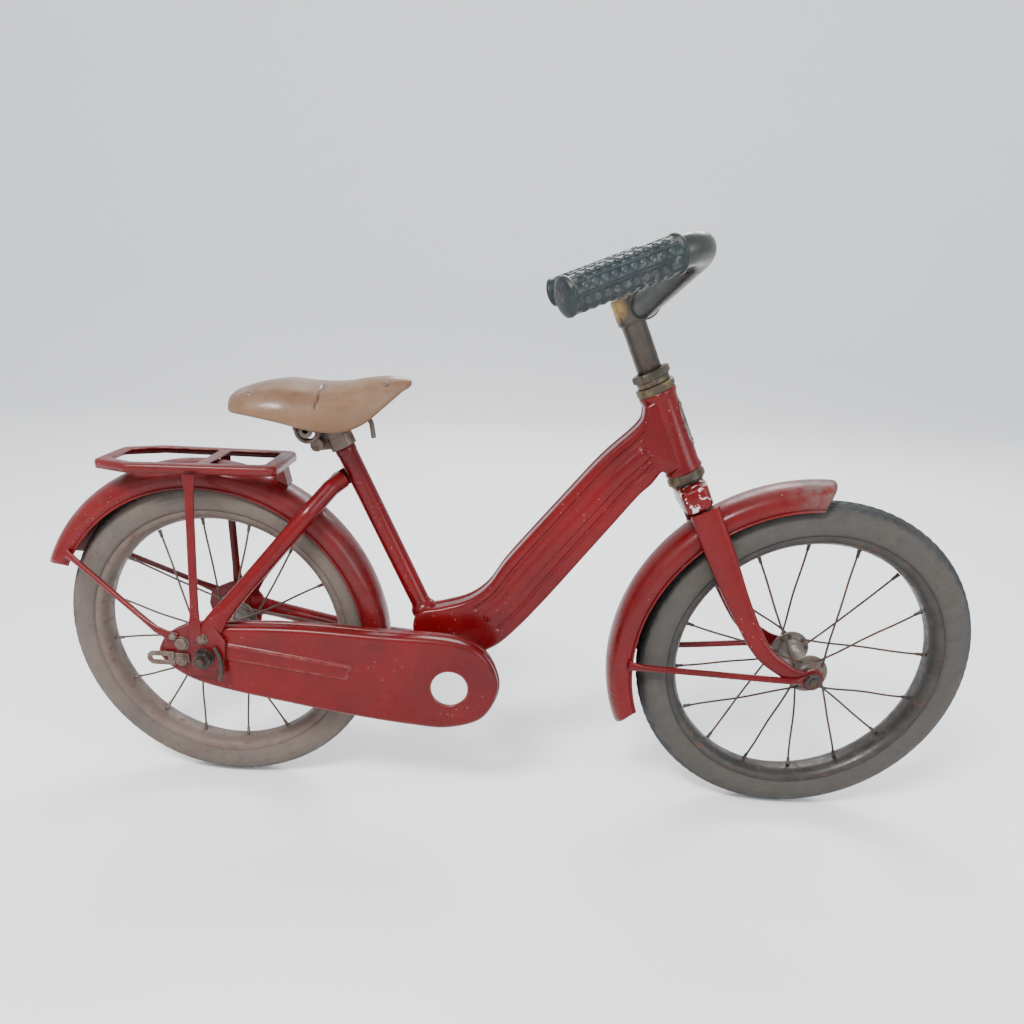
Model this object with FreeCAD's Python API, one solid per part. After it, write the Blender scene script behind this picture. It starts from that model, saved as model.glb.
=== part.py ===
import FreeCAD, Part
import math
import os
from FreeCAD import Placement, Rotation, Vector

# Small child's bicycle with a pressed-steel step-through frame, a chain case and a luggage rack.
# +X is forward, +Y is the rider's left, +Z is up, in millimetres. While the parts are drawn, X = 0
# is halfway between the two axles and Z = 0 is the ground; the last step moves everything along X
# so that the origin is under the middle of the whole bicycle.
# "right" is the rider's right, the chain side, at -Y; "left" is the other side, at +Y.

# Wheels
WHEELBASE = 545.0
TYRE_RADIUS = 150.0
TYRE_WIDTH = 38.0
TYRE_WALL = 4.0
RIM_LIP_RADIUS = 122.0
RIM_SEAT_RADIUS = 113.0
SPOKE_COUNT = 16
SPOKE_RADIUS = 1.0
FLANGE_HALF_GAP = 29.0
SPOKE_LEAN = 38.0
REAR_HUB_X = -WHEELBASE / 2
FRONT_HUB_X = WHEELBASE / 2
HUB_Z = TYRE_RADIUS

# Steering axis: it leans back, and starts at the lower end of the head tube
HEAD_LEAN = 26.0
HEAD_X = 143.5
HEAD_Z = 320.0
HEAD_TUBE_LENGTH = 70.0
HEAD_TUBE_RADIUS = 14.5
STEERER_RADIUS = 11.0
QUILL_RADIUS = 10.0
QUILL_TOP = 128.0
STEM_HEAD_TOP = 149.0

# Handlebar
BAR_RADIUS = 10.5
GRIP_RADIUS = 12.5
BAR_END = (27.0, 150.0, 454.0)
BAR_CORNER = (125.0, 100.0, 490.5)
BAR_MIDDLE = (93.0, 14.0, 448.0)
GRIP_LENGTH = 90.0

# Frame
BEAM_HALF_WIDTH = 14.0
BEAM_ROUNDING = 4.0
SHEET = 2.0
SEAT_TUBE_LEAN = 25.8
SEAT_TUBE_FOOT = (-79.0, 183.0)
SEAT_TUBE_RADIUS = 9.0
SEAT_POST_RADIUS = 7.3
SEAT_TUBE_TOP = 163.0
SADDLE_PIVOT = 184.0
SOCKET_RADIUS = 12.0
CRANK_X = -50.0
CRANK_Z = 128.5
HANGER_BORE = 18.5
HANGER_RADIUS = 22.5
CASE_NEAR = -58.0
CASE_SEAM = -46.0
CASE_BACK = -34.0
CASE_WALL = 1.2
CASE_ROUNDING = 5.0
CRANK_HOLE_RADIUS = 16.5
BACK_HOLE_RADIUS = 31.0
DROPOUT_Y = 61.0
REAR_AXLE_RADIUS = 5.0
REAR_AXLE_END_RADIUS = 4.5
REAR_AXLE_HALF = 80.0
FRONT_AXLE_RADIUS = 4.0
FRONT_AXLE_HALF = 51.0
BEARING_PLAY = 0.05
FIT_PLAY = 0.05

# Mudguards
GUARD_SHEET = 1.2
GUARD_HALF_WIDTH = 22.5
FRONT_GUARD_CENTRE = (FRONT_HUB_X - 8.0, 147.0)
FRONT_GUARD_RADIUS = 170.0
FRONT_GUARD_SPAN = (88.0, 203.0)
REAR_GUARD_CENTRE = (-280.0, 146.0)
REAR_GUARD_RADIUS = 169.5
REAR_GUARD_SPAN = (4.0, 154.5)
GUARD_SKIRT = 22.0

# Rack
RACK_TOP = 317.4
RACK_FLANGE = 7.5
RACK_SHEET = 1.4

NODES = {}


# ---------------------------------------------------------------- helpers

def vec(point):
    return Vector(*point)


def rod(start, end, radius):
    """Solid cylinder between two points."""
    start = vec(start)
    along = vec(end) - start
    return Part.makeCylinder(radius, along.Length, start, along)


def tube(start, end, radius, bore):
    """Cylinder with a coaxial bore."""
    return rod(start, end, radius).cut(rod(start, end, bore))


def merge(shapes):
    """One clean solid out of touching or overlapping ones."""
    return shapes[0].fuse(shapes[1:]).removeSplitter()


def mirrored(shape):
    """The same piece on the other side of the bicycle."""
    return shape.mirror(Vector(0, 0, 0), Vector(0, 1, 0))


def side_plate(points, near, far):
    """Flat plate: an outline of (x, z) points, between two y values."""
    wire = Part.makePolygon([Vector(x, near, z) for x, z in points + points[:1]])
    return Part.Face(wire).extrude(Vector(0, far - near, 0))


def side_disc(x, z, radius, near, far):
    """Cylinder along Y."""
    return Part.makeCylinder(radius, far - near, Vector(x, near, z), Vector(0, 1, 0))


def hexagon(x, z, across, near, far):
    """Hexagonal nut blank along Y."""
    corner = across / math.sqrt(3)
    points = [(x + corner * math.cos(math.radians(60 * k)),
               z + corner * math.sin(math.radians(60 * k))) for k in range(6)]
    return side_plate(points, near, far)


def upright_hexagon(across, low, high):
    """Hexagonal nut blank round the Z axis."""
    corner = across / math.sqrt(3)
    points = [Vector(corner * math.cos(math.radians(60 * k)), corner * math.sin(math.radians(60 * k)), low)
              for k in range(7)]
    return Part.Face(Part.makePolygon(points)).extrude(Vector(0, 0, high - low))


def smooth_outline(points, steps):
    """Closed smooth outline through (x, z) points, as a polygon with a few steps between points."""
    outline = []
    count = len(points)
    for index in range(count):
        before, first, last, after = [points[(index + k) % count] for k in (-1, 0, 1, 2)]
        for step in range(steps):
            t = step / steps
            outline.append(tuple(
                0.5 * (2 * first[k] + (last[k] - before[k]) * t
                       + (2 * before[k] - 5 * first[k] + 4 * last[k] - after[k]) * t ** 2
                       + (3 * first[k] - before[k] - 3 * last[k] + after[k]) * t ** 3)
                for k in (0, 1)))
    return outline


def turn_sense(points):
    """+1 when the outline runs round with its inside on the left, -1 otherwise."""
    area = sum(a[0] * b[1] - b[0] * a[1] for a, b in zip(points, points[1:] + points[:1]))
    return math.copysign(1.0, area)


def inset(points, distance):
    """The same outline moved inwards, each side staying parallel to itself."""
    sense = turn_sense(points)
    moved = []
    count = len(points)
    for index in range(count):
        x0, z0 = points[index - 1]
        x1, z1 = points[index]
        x2, z2 = points[(index + 1) % count]
        first = math.hypot(x1 - x0, z1 - z0)
        second = math.hypot(x2 - x1, z2 - z1)
        normal_a = (-(z1 - z0) / first * sense, (x1 - x0) / first * sense)
        normal_b = (-(z2 - z1) / second * sense, (x2 - x1) / second * sense)
        share = distance / (1.0 + normal_a[0] * normal_b[0] + normal_a[1] * normal_b[1])
        moved.append((x1 + (normal_a[0] + normal_b[0]) * share, z1 + (normal_a[1] + normal_b[1]) * share))
    return moved


def bevelled_slab(points, near, far, rounding):
    """Thick plate between two y values whose edge at the far side is rounded in two steps."""
    sense = math.copysign(1.0, far - near)
    rings = [(0.0, near), (0.0, far - sense * rounding),
             (rounding * 0.29, far - sense * rounding * 0.29), (rounding, far)]
    loops = [[Vector(x, y, z) for x, z in inset(points, depth)] for depth, y in rings]
    faces = [Part.Face(Part.makePolygon(loop + loop[:1])) for loop in (loops[0], loops[-1])]
    for low, high in zip(loops, loops[1:]):
        for index in range(len(low)):
            a, b, c, d = low[index - 1], low[index], high[index], high[index - 1]
            faces.append(Part.Face(Part.makePolygon([a, b, c, d, a])))
    solid = Part.Solid(Part.Shell(faces))
    return solid if solid.Volume > 0 else solid.reversed()


def wheel_ring(section, centre, start=0.0, sweep=360.0):
    """Turn a closed (y, r) section round an axis along Y.

    Angles run from straight ahead (+X) towards the top (+Z).
    """
    x, z = centre
    wire = Part.makePolygon([Vector(x, y, z + r) for y, r in section + section[:1]])
    face = Part.Face(wire)
    axis = Vector(0, -1, 0)
    face.rotate(Vector(x, 0, z), axis, start - 90.0)
    return face.revolve(Vector(x, 0, z), axis, sweep)


def round_run(start, end, radius, bore):
    """Straight length of bar, or of tube when it has a bore."""
    return tube(start, end, radius, bore) if bore else rod(start, end, radius)


def bent_tube(points, radius, bends, bore=0.0):
    """Straight runs joined by tangent arcs, one bend radius for each corner."""
    points = [vec(p) for p in points]
    pieces = []
    start = points[0]
    for index in range(1, len(points) - 1):
        corner = points[index]
        incoming = (corner - points[index - 1]).normalize()
        outgoing = (points[index + 1] - corner).normalize()
        turn = incoming.getAngle(outgoing)
        reach = bends[index - 1] * math.tan(turn / 2)
        first = corner - incoming * reach
        last = corner + outgoing * reach
        normal = incoming.cross(outgoing).normalize()
        centre = first + normal.cross(incoming) * bends[index - 1]
        pieces.append(round_run(start, first, radius, bore))
        section = Part.Face(Part.Wire(Part.makeCircle(radius, first, incoming)))
        if bore:
            section = section.cut(Part.Face(Part.Wire(Part.makeCircle(bore, first, incoming)))).Faces[0]
        bend = section.revolve(centre, normal, math.degrees(turn))
        pieces.append(bend if bend.Volume > 0 else bend.reversed())
        start = last
    pieces.append(round_run(start, points[-1], radius, bore))
    return merge(pieces)


def steering(shape):
    """Move a piece drawn round the Z axis onto the steering axis."""
    lean = Rotation(Vector(0, 1, 0), -HEAD_LEAN)
    shape.Placement = Placement(Vector(HEAD_X, 0, HEAD_Z), lean).multiply(shape.Placement)
    return shape


def steering_ring(low, high, radius, bore):
    ring = Part.makeCylinder(radius, high - low, Vector(0, 0, low))
    return steering(ring.cut(Part.makeCylinder(bore, high - low, Vector(0, 0, low))))


def seat_point(along, offset=0.0):
    """Point (x, z) on the seat tube's axis, measured up from its foot; offset is forward."""
    lean = math.radians(SEAT_TUBE_LEAN)
    x = SEAT_TUBE_FOOT[0] - along * math.sin(lean) + offset * math.cos(lean)
    z = SEAT_TUBE_FOOT[1] + along * math.cos(lean) + offset * math.sin(lean)
    return (x, z)


def seat_rod(low, high, radius):
    """Cylinder on the seat tube's axis."""
    x_low, z_low = seat_point(low)
    x_high, z_high = seat_point(high)
    return rod((x_low, 0, z_low), (x_high, 0, z_high), radius)


def keep(name, shape):
    """Store a finished node."""
    solids = shape.Solids
    NODES[name] = solids[0] if len(solids) == 1 else Part.makeCompound(solids)


# ---------------------------------------------------------------- wheels

def tyre(centre):
    """Hollow carcass, open towards the rim between its two beads."""
    half = TYRE_WIDTH / 2
    middle = TYRE_RADIUS - half
    outer = []
    for k in range(15):
        angle = math.radians(-22 + 224 * k / 14)
        outer.append((half * math.cos(angle), middle + half * math.sin(angle)))
    inside = half - TYRE_WALL
    inner = []
    for k in range(11):
        angle = math.radians(202 - 224 * k / 10)
        inner.append((inside * math.cos(angle), middle + inside * math.sin(angle)))
    bead_far = [(-13.4, RIM_LIP_RADIUS + 1.6), (-13.4, 121.6), (-10.9, 118.4), (-9.0, 118.4)]
    bead_near = [(9.0, 118.4), (10.9, 118.4), (13.4, 121.6), (13.4, RIM_LIP_RADIUS + 1.6)]
    return wheel_ring(outer + bead_far + inner + bead_near, centre)


def rim(centre):
    """Rolled steel rim: two lips, two sloping sides and a flat nipple seat."""
    lip = RIM_LIP_RADIUS
    outside = [(-15.6, lip + 1.0), (-15.6, 120.0), (-13.0, 116.0), (-7.0, RIM_SEAT_RADIUS),
               (7.0, RIM_SEAT_RADIUS), (13.0, 116.0), (15.6, 120.0), (15.6, lip + 1.0)]
    inside = [(13.8, lip + 1.0), (13.8, 121.0), (11.4, 117.6), (6.2, 114.8),
              (-6.2, 114.8), (-11.4, 117.6), (-13.8, 121.0), (-13.8, lip + 1.0)]
    return wheel_ring(outside + inside, centre)


def spoke_ends(centre, index, flange_radius):
    """Nipple point on the rim and hook point on the hub flange for one spoke."""
    x, z = centre
    angle = math.radians(6.0 + 360.0 * index / SPOKE_COUNT)
    side = -1 if index % 2 else 1
    lean = SPOKE_LEAN if index % 4 < 2 else -SPOKE_LEAN
    hook = angle + math.radians(lean)
    nipple = (x + RIM_SEAT_RADIUS * math.cos(angle), 0.0, z + RIM_SEAT_RADIUS * math.sin(angle))
    flange = (x + flange_radius * math.cos(hook), side * FLANGE_HALF_GAP,
              z + flange_radius * math.sin(hook))
    return nipple, flange


def spokes(centre, flange_radius):
    """Sixteen wires, from just outside the flange's rim to the nipples."""
    wires = []
    for index in range(SPOKE_COUNT):
        nipple, flange = spoke_ends(centre, index, flange_radius)
        direction = (vec(nipple) - vec(flange)).normalize()
        wires.append(rod(vec(flange), vec(nipple) - direction * 8.0, SPOKE_RADIUS))
    return Part.makeCompound(wires)


def nipples(centre, flange_radius):
    """Sixteen brass sleeves standing on the rim's inner face."""
    sleeves = []
    for index in range(SPOKE_COUNT):
        nipple, flange = spoke_ends(centre, index, flange_radius)
        direction = (vec(nipple) - vec(flange)).normalize()
        sleeves.append(rod(vec(nipple) - direction * 8.0, vec(nipple) - direction * 0.8, 2.0))
    return Part.makeCompound(sleeves)


def hub(centre, barrel, flange, reach, bore):
    """Turned hub shell: a barrel, two spoke flanges and two bearing cups."""
    x, z = centre
    gap = FLANGE_HALF_GAP
    parts = [side_disc(x, z, barrel, -reach, reach)]
    for side in (-1, 1):
        near = min(side * (gap - 1.2), side * (gap + 1.2))
        parts.append(side_disc(x, z, flange, near, near + 2.4))
        shoulder = min(side * (gap - 12), side * gap)
        parts.append(side_disc(x, z, (barrel + flange) / 2 - 1, shoulder, shoulder + 12))
    shell = merge(parts)
    return shell.cut(side_disc(x, z, bore, -reach - 1, reach + 1))


def build_wheel(name, centre, barrel, flange, reach, axle_radius):
    hole_radius = flange - 3.5
    keep(name + "_tyre", tyre(centre))
    keep(name + "_rim", rim(centre))
    wires = spokes(centre, hole_radius)
    shell = hub(centre, barrel, flange, reach, axle_radius + BEARING_PLAY)
    wires = Part.makeCompound(wires.cut(shell).Solids + nipples(centre, hole_radius).Solids)
    keep(name + "_spokes", wires)
    keep(name + "_hub", shell)


def build_wheels():
    build_wheel("front", (FRONT_HUB_X, HUB_Z), 8.5, 17.5, 33.0, FRONT_AXLE_RADIUS)
    build_wheel("rear", (REAR_HUB_X, HUB_Z), 16.0, 22.5, 31.0, REAR_AXLE_RADIUS)


# ---------------------------------------------------------------- fork and steering

def build_steering():
    steerer = steering_ring(-29.0, 88.0, STEERER_RADIUS, QUILL_RADIUS + FIT_PLAY)
    keep("steerer", steerer)

    crown = Part.makeBox(25, 70, 19, Vector(-12.5, -35, -29))
    crown = crown.makeFillet(5.0, [e for e in crown.Edges if abs(e.Vertexes[0].Z - e.Vertexes[1].Z) > 10])
    crown = crown.cut(Part.makeCylinder(STEERER_RADIUS, 40, Vector(0, 0, -40)))
    crown = steering(crown)
    keep("fork_crown", crown)

    blade = biggest(fork_blade(-1).cut(crown))
    keep("fork_blade_right", blade)
    keep("fork_blade_left", mirrored(blade))

    keep("lower_race", steering_ring(-10.0, -8.2, 14.0, STEERER_RADIUS))
    keep("upper_cone", steering_ring(77.0, 82.0, 13.5, STEERER_RADIUS))
    nut = upright_hexagon(27.0, 82.0, 88.0)
    nut = nut.cut(Part.makeCylinder(STEERER_RADIUS, 10, Vector(0, 0, 80)))
    keep("headset_locknut", steering(nut))


def blade_section(x, z, width, depth, y, direction):
    """Rounded section of a fork blade, square to the blade's own direction."""
    along = Vector(direction[0], 0, direction[1]).normalize()
    across = Vector(0, 1, 0).cross(along)
    points = []
    for k in range(16):
        angle = 2 * math.pi * k / 16
        c, s = math.cos(angle), math.sin(angle)
        wide = math.copysign(abs(c) ** 0.6, c) * width / 2
        deep = math.copysign(abs(s) ** 0.6, s) * depth / 2
        points.append(Vector(x, y, z) + across * wide + Vector(0, deep, 0))
    curve = Part.BSplineCurve()
    curve.interpolate(points, PeriodicFlag=True)
    return Part.Wire([curve.toShape()])


def fork_blade(side):
    """Tapered blade that sweeps forward to a flat end with the axle hole."""
    stations = [(157, 299, 25, 11, 29.5), (170, 273, 25, 11, 29.5), (184, 246, 24, 10.5, 31),
                (204, 208, 19, 9.5, 34), (226, 173.5, 16, 8, 38), (248, 157, 14, 5.5, 41.5),
                (262, 151, 13, 4, 43)]
    sections = []
    for index, (x, z, width, depth, y) in enumerate(stations):
        before = stations[max(index - 1, 0)]
        after = stations[min(index + 1, len(stations) - 1)]
        direction = (after[0] - before[0], after[1] - before[1])
        sections.append(blade_section(x, z, width, depth, side * y, direction))
    blade = Part.makeLoft(sections, True, False)
    near = min(side * 41.0, side * 45.0)
    end = side_disc(FRONT_HUB_X, HUB_Z, 10.0, near, near + 4.0)
    neck = side_plate([(258, 146), (258, 157), (FRONT_HUB_X, HUB_Z + 9), (FRONT_HUB_X, HUB_Z - 9)],
                      near, near + 4.0)
    whole = merge([blade, end, neck])
    return whole.cut(side_disc(FRONT_HUB_X, HUB_Z, FRONT_AXLE_RADIUS, -80, 80))


def build_front_axle():
    x, z = FRONT_HUB_X, HUB_Z
    keep("front_axle", side_disc(x, z, FRONT_AXLE_RADIUS, -FRONT_AXLE_HALF, FRONT_AXLE_HALF))
    hole = side_disc(x, z, FRONT_AXLE_RADIUS, -80, 80)
    cones = [side_disc(x, z, 7.5, 34, 41), side_disc(x, z, 7.5, -41, -34)]
    keep("front_cones", Part.makeCompound([cone.cut(hole) for cone in cones]))
    near_nut = hexagon(x, z, 13.0, -50.0, -45.0 - 1.6 - 1.2).cut(hole)
    near_washer = side_disc(x, z, 7.5, -47.8, -46.6).cut(hole)
    fixings = [near_nut, mirrored(near_nut), near_washer, mirrored(near_washer)]
    keep("front_nuts", Part.makeCompound(fixings))


def guard(centre, radius, span):
    """Rolled mudguard with a crowned top and short skirts."""
    half = GUARD_HALF_WIDTH
    top = []
    for k in range(13):
        angle = math.radians(15 * k)
        lift = abs(math.sin(angle)) ** 0.8
        top.append((half * math.cos(angle), radius - 15 + 15 * lift))
    inner = [((half - GUARD_SHEET) / half * y, r - GUARD_SHEET) for y, r in reversed(top)]
    foot = radius - GUARD_SKIRT
    section = [(half, foot)] + top + [(-half, foot), (-half + GUARD_SHEET, foot)]
    section += inner + [(half - GUARD_SHEET, foot)]
    return wheel_ring(section, centre, span[0], span[1] - span[0])


def strip(start, end, width, thick):
    """Flat bar between two points, its width lying in the side view."""
    start, end = vec(start), vec(end)
    along = (end - start).normalize()
    across = Vector(0, 1, 0).cross(along).normalize()
    face_dir = along.cross(across).normalize()
    corner = start - across * (width / 2) - face_dir * (thick / 2)
    wire = Part.makePolygon([corner, corner + across * width,
                             corner + across * width + face_dir * thick,
                             corner + face_dir * thick, corner])
    return Part.Face(wire).extrude(end - start)


def build_front_guard():
    front = guard(FRONT_GUARD_CENTRE, FRONT_GUARD_RADIUS, FRONT_GUARD_SPAN)
    keep("front_mudguard", front)

    stay_y = 45.0
    guard_end = (113.0, -GUARD_HALF_WIDTH - 1.5, 146.0)
    stay = merge([strip(guard_end, (130.0, -27.0, 146.0), 12.0, 1.6),
                  rod((128.0, -26.6, 146.0), (252.0, -stay_y - 0.8, 148.6), 3.0),
                  strip((248.0, -stay_y - 0.8, 148.6), (FRONT_HUB_X, -stay_y - 0.8, 149.8), 10.0, 1.6),
                  side_disc(FRONT_HUB_X, HUB_Z, 8.0, -stay_y - 1.6, -stay_y)])
    stay = stay.cut(side_disc(FRONT_HUB_X, HUB_Z, FRONT_AXLE_RADIUS, -80, 80))
    for shape in (front, NODES["fork_blade_right"]):
        stay = stay.cut(shape)
    stay = biggest(stay)
    keep("front_stays", Part.makeCompound([stay, mirrored(stay)]))


def biggest(shape):
    """The largest solid of a shape, dropping trimmings."""
    return max(shape.Solids, key=lambda solid: solid.Volume)


# ---------------------------------------------------------------- handlebar

def bar_path():
    far = [BAR_END, BAR_CORNER, BAR_MIDDLE]
    near = [(x, -y, z) for x, y, z in reversed(far)]
    return far + near


def build_handlebar():
    bends = [26.0, 22.0, 22.0, 26.0]
    path = bar_path()
    solid = bent_tube(path, BAR_RADIUS + FIT_PLAY, bends)
    keep("handlebar", bent_tube(path, BAR_RADIUS, bends, BAR_RADIUS - 1.5))

    quill = Part.makeCylinder(QUILL_RADIUS, QUILL_TOP - 28, Vector(0, 0, 28))
    head = Part.makeCylinder(12.0, STEM_HEAD_TOP - QUILL_TOP, Vector(0, 0, QUILL_TOP))
    saddle = Part.makeCylinder(13.0, 24.0, Vector(12.5, -12.0, 138.5), Vector(0, 1, 0))
    bolt_hole = Part.makeCylinder(4.0, 200, Vector(0, 0, 0))
    stem = steering(merge([quill, head, saddle]).cut(bolt_hole))
    keep("stem", stem.cut(solid))

    bolt_head = upright_hexagon(12.0, STEM_HEAD_TOP, STEM_HEAD_TOP + 5.0)
    shank = Part.makeCylinder(3.5, STEM_HEAD_TOP - 12, Vector(0, 0, 12))
    keep("stem_bolt", steering(merge([bolt_head, shank])).cut(solid))

    end = vec(BAR_END)
    inward = (vec(BAR_CORNER) - end).normalize()
    cap_end = end - inward * 3.0
    flange_low = end + inward * (GRIP_LENGTH - 4.0)
    grip = merge([rod(cap_end, cap_end + inward * 4.0, GRIP_RADIUS + 0.8),
                  rod(cap_end, end + inward * (GRIP_LENGTH - 3.0), GRIP_RADIUS),
                  rod(flange_low, flange_low + inward * 3.0, GRIP_RADIUS + 0.8)])
    grip = grip.cut(rod(end, end + inward * GRIP_LENGTH, BAR_RADIUS))
    keep("grip_left", grip)
    keep("grip_right", mirrored(grip))


# ---------------------------------------------------------------- frame

BEAM_OUTLINE = [(104, 371), (93, 355), (72, 331), (45, 298), (18, 264.5), (-5, 235), (-20, 212),
                (-38, 198), (-62, 190), (-84, 184), (-88, 164), (-70, 147), (-40, 142), (-12, 153),
                (10, 174), (36, 206), (62, 240.5), (88, 275), (112, 306), (124, 318), (136, 330),
                (128, 356)]


def build_beam(head_cut, socket_cut, hanger_cut):
    """Two pressed halves, each an open dish, welded along the middle plane."""
    outline = smooth_outline(BEAM_OUTLINE, 3)
    outer = bevelled_slab(outline, 0.0, -BEAM_HALF_WIDTH, BEAM_ROUNDING)
    inner = bevelled_slab(inset(outline, SHEET), 0.0, SHEET - BEAM_HALF_WIDTH, BEAM_ROUNDING - SHEET)
    half = biggest(outer.cut(inner).cut(head_cut).cut(socket_cut).cut(hanger_cut))
    keep("beam_right", half)
    keep("beam_left", mirrored(half))


def build_frame():
    head = steering_ring(0, HEAD_TUBE_LENGTH, HEAD_TUBE_RADIUS, STEERER_RADIUS + 1.7)
    keep("head_tube", head)
    keep("head_badge", head_badge())
    keep("lower_cup", steering_ring(-8.0, 0.0, 16.0, STEERER_RADIUS + 1.0))
    keep("upper_cup", steering_ring(70.0, 76.8, 16.0, STEERER_RADIUS + 1.0))

    hanger_solid = side_disc(CRANK_X, CRANK_Z, HANGER_RADIUS, -31, 34)
    socket = seat_rod(-40, 7, SOCKET_RADIUS)
    head_solid = steering(Part.makeCylinder(HEAD_TUBE_RADIUS, 90, Vector(0, 0, -10)))
    build_beam(head_solid, socket, hanger_solid)

    tube_wall = merge([seat_rod(-40, SEAT_TUBE_TOP, SEAT_TUBE_RADIUS), socket])
    bore = seat_rod(10, SEAT_TUBE_TOP + 1, SEAT_POST_RADIUS + FIT_PLAY)
    seat_tube = tube_wall.cut(bore).cut(hanger_solid)
    seat_tube = biggest(seat_tube)
    keep("seat_tube", seat_tube)

    upper_half = Part.makeBox(60, 80, 30, Vector(CRANK_X - 30, -40, CRANK_Z))
    hanger = hanger_solid.cut(side_disc(CRANK_X, CRANK_Z, HANGER_BORE, -60, 60)).common(upper_half)
    keep("crank_hanger", hanger)

    build_stays(seat_tube, hanger_solid)
    build_dropouts()
    build_case()
    build_fasteners()


def head_badge():
    """Blank name plate wrapped round the front of the head tube."""
    plate = Part.makeCylinder(HEAD_TUBE_RADIUS + 0.8, 40, Vector(0, 0, 18))
    plate = plate.cut(Part.makeCylinder(HEAD_TUBE_RADIUS, 40, Vector(0, 0, 18)))
    front = Part.makeBox(20, 24, 40, Vector(6, -12, 18))
    return steering(plate.common(front))


def build_stays(seat_tube, hanger_solid):
    """Seat stays from the seat tube to the axle plates, and chain stays from the crank hanger."""
    top = [(-151, -7, 303), (-160, -17, 297), (-178, -33, 277), (-258, -DROPOUT_Y + 2, 187)]
    stay = bent_tube(top, 7.5, [12, 30])
    foot = strip((-250, -DROPOUT_Y, 196), (-268, -DROPOUT_Y, 172), 20, 4)
    stay = merge([stay, foot]).cut(seat_tube).cut(seat_rod(-40, 200, SEAT_TUBE_RADIUS))
    stay = biggest(stay)
    keep("seat_stay_right", stay)
    keep("seat_stay_left", mirrored(stay))

    near = [(-64, -22, 140), (-150, -26, 146), (-240, -DROPOUT_Y + 11, 150)]
    near_stay = bent_tube(near, 5.5, [80])
    near_foot = strip((-236, -DROPOUT_Y + 7, 150), (-284, -DROPOUT_Y + 7, 150), 16, 3)
    near_stay = merge([near_stay, near_foot]).cut(hanger_solid)
    near_stay = biggest(near_stay.cut(side_disc(REAR_HUB_X, HUB_Z, REAR_AXLE_RADIUS, -80, 80)))
    keep("chain_stay_right", near_stay)

    far = [(-64, 24, 142), (-140, 27, 147), (-252, DROPOUT_Y - 5, 158)]
    far_stay = bent_tube(far, 8.0, [90])
    far_foot = strip((-246, DROPOUT_Y - 5.2, 157), (-262, DROPOUT_Y - 2, 157), 20, 5)
    far_stay = merge([far_stay, far_foot]).cut(hanger_solid)
    far_stay = biggest(far_stay.cut(NODES["seat_stay_left"]))
    keep("chain_stay_left", far_stay)


def dropout(side):
    """Flat axle plate with its holes."""
    near = min(side * (DROPOUT_Y - 2), side * (DROPOUT_Y + 2))
    outline = [(-252, 166), (-262, 180), (-284, 181), (-305, 172), (-309, 158), (-306, 142),
               (-292, 132), (-266, 131), (-256, 140)]
    plate = side_plate(outline, near, near + 4)
    holes = [side_disc(REAR_HUB_X, HUB_Z, REAR_AXLE_RADIUS, -90, 90),
             side_disc(-292, 163, 3.0, -90, 90),
             side_disc(-293, 148, 2.5, -90, 90),
             side_disc(-273, 168, 3.0, -90, 90)]
    return plate.cut(holes[0]).cut(holes[1]).cut(holes[2]).cut(holes[3])


def build_dropouts():
    for name, side in (("right", -1), ("left", 1)):
        plate = dropout(side)
        for stay in ("seat_stay_", "chain_stay_"):
            plate = plate.cut(NODES[stay + name])
        keep("axle_plate_" + name, biggest(plate))


CASE_OUTLINE = [(-5.5, 131), (-19, 162), (-49, 174.5), (-115, 177), (-188, 180), (-253, 178),
                (-296, 173), (-318, 152), (-302, 131), (-267, 117), (-194, 103.5), (-138, 94.5),
                (-86, 88.5), (-50, 87.5), (-18, 100)]


def case_dish(open_y, wall_y):
    """Half of the chain case: a rounded dish whose floor is at wall_y."""
    outline = smooth_outline(CASE_OUTLINE, 4)
    outer = bevelled_slab(outline, open_y, wall_y, CASE_ROUNDING)
    inside = wall_y - math.copysign(CASE_WALL, wall_y - open_y)
    inner = bevelled_slab(inset(outline, CASE_WALL), open_y, inside, CASE_ROUNDING - CASE_WALL)
    return outer.cut(inner)


def build_case():
    crank_hole = side_disc(CRANK_X, CRANK_Z, CRANK_HOLE_RADIUS, -80, 0)
    axle_hole = side_disc(REAR_HUB_X, HUB_Z, REAR_AXLE_RADIUS + 0.5, -80, 0)
    outer = case_dish(CASE_SEAM, CASE_NEAR)
    rib = side_plate([(-252, 155), (-252, 143), (-142, 134), (-136, 139.5), (-140, 146)],
                     CASE_NEAR - 1.2, CASE_NEAR)
    outer = merge([outer, rib]).cut(crank_hole).cut(axle_hole)
    keep("chain_case_outer", biggest(outer))

    inner = case_dish(CASE_SEAM, CASE_BACK)
    hub_hole = side_disc(REAR_HUB_X, HUB_Z, 20.0, -40, -20)
    stay_slot = side_plate([(-292, 158), (-292, 139), (-150, 134), (-150, 158)], -40, -20)
    back_hole = side_disc(CRANK_X, CRANK_Z, BACK_HOLE_RADIUS, -40, -20)
    inner = inner.cut(back_hole).cut(hub_hole).cut(stay_slot)
    keep("chain_case_inner", biggest(inner))


def slotted_end(x_end, z, radius, x_root):
    """Outline of a strip with a round end at its rear."""
    points = []
    for k in range(13):
        angle = math.radians(90 + 15 * k)
        points.append((x_end + radius * math.cos(angle), z + radius * math.sin(angle)))
    return points + [(x_root, z - radius), (x_root, z + radius)]


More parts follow.
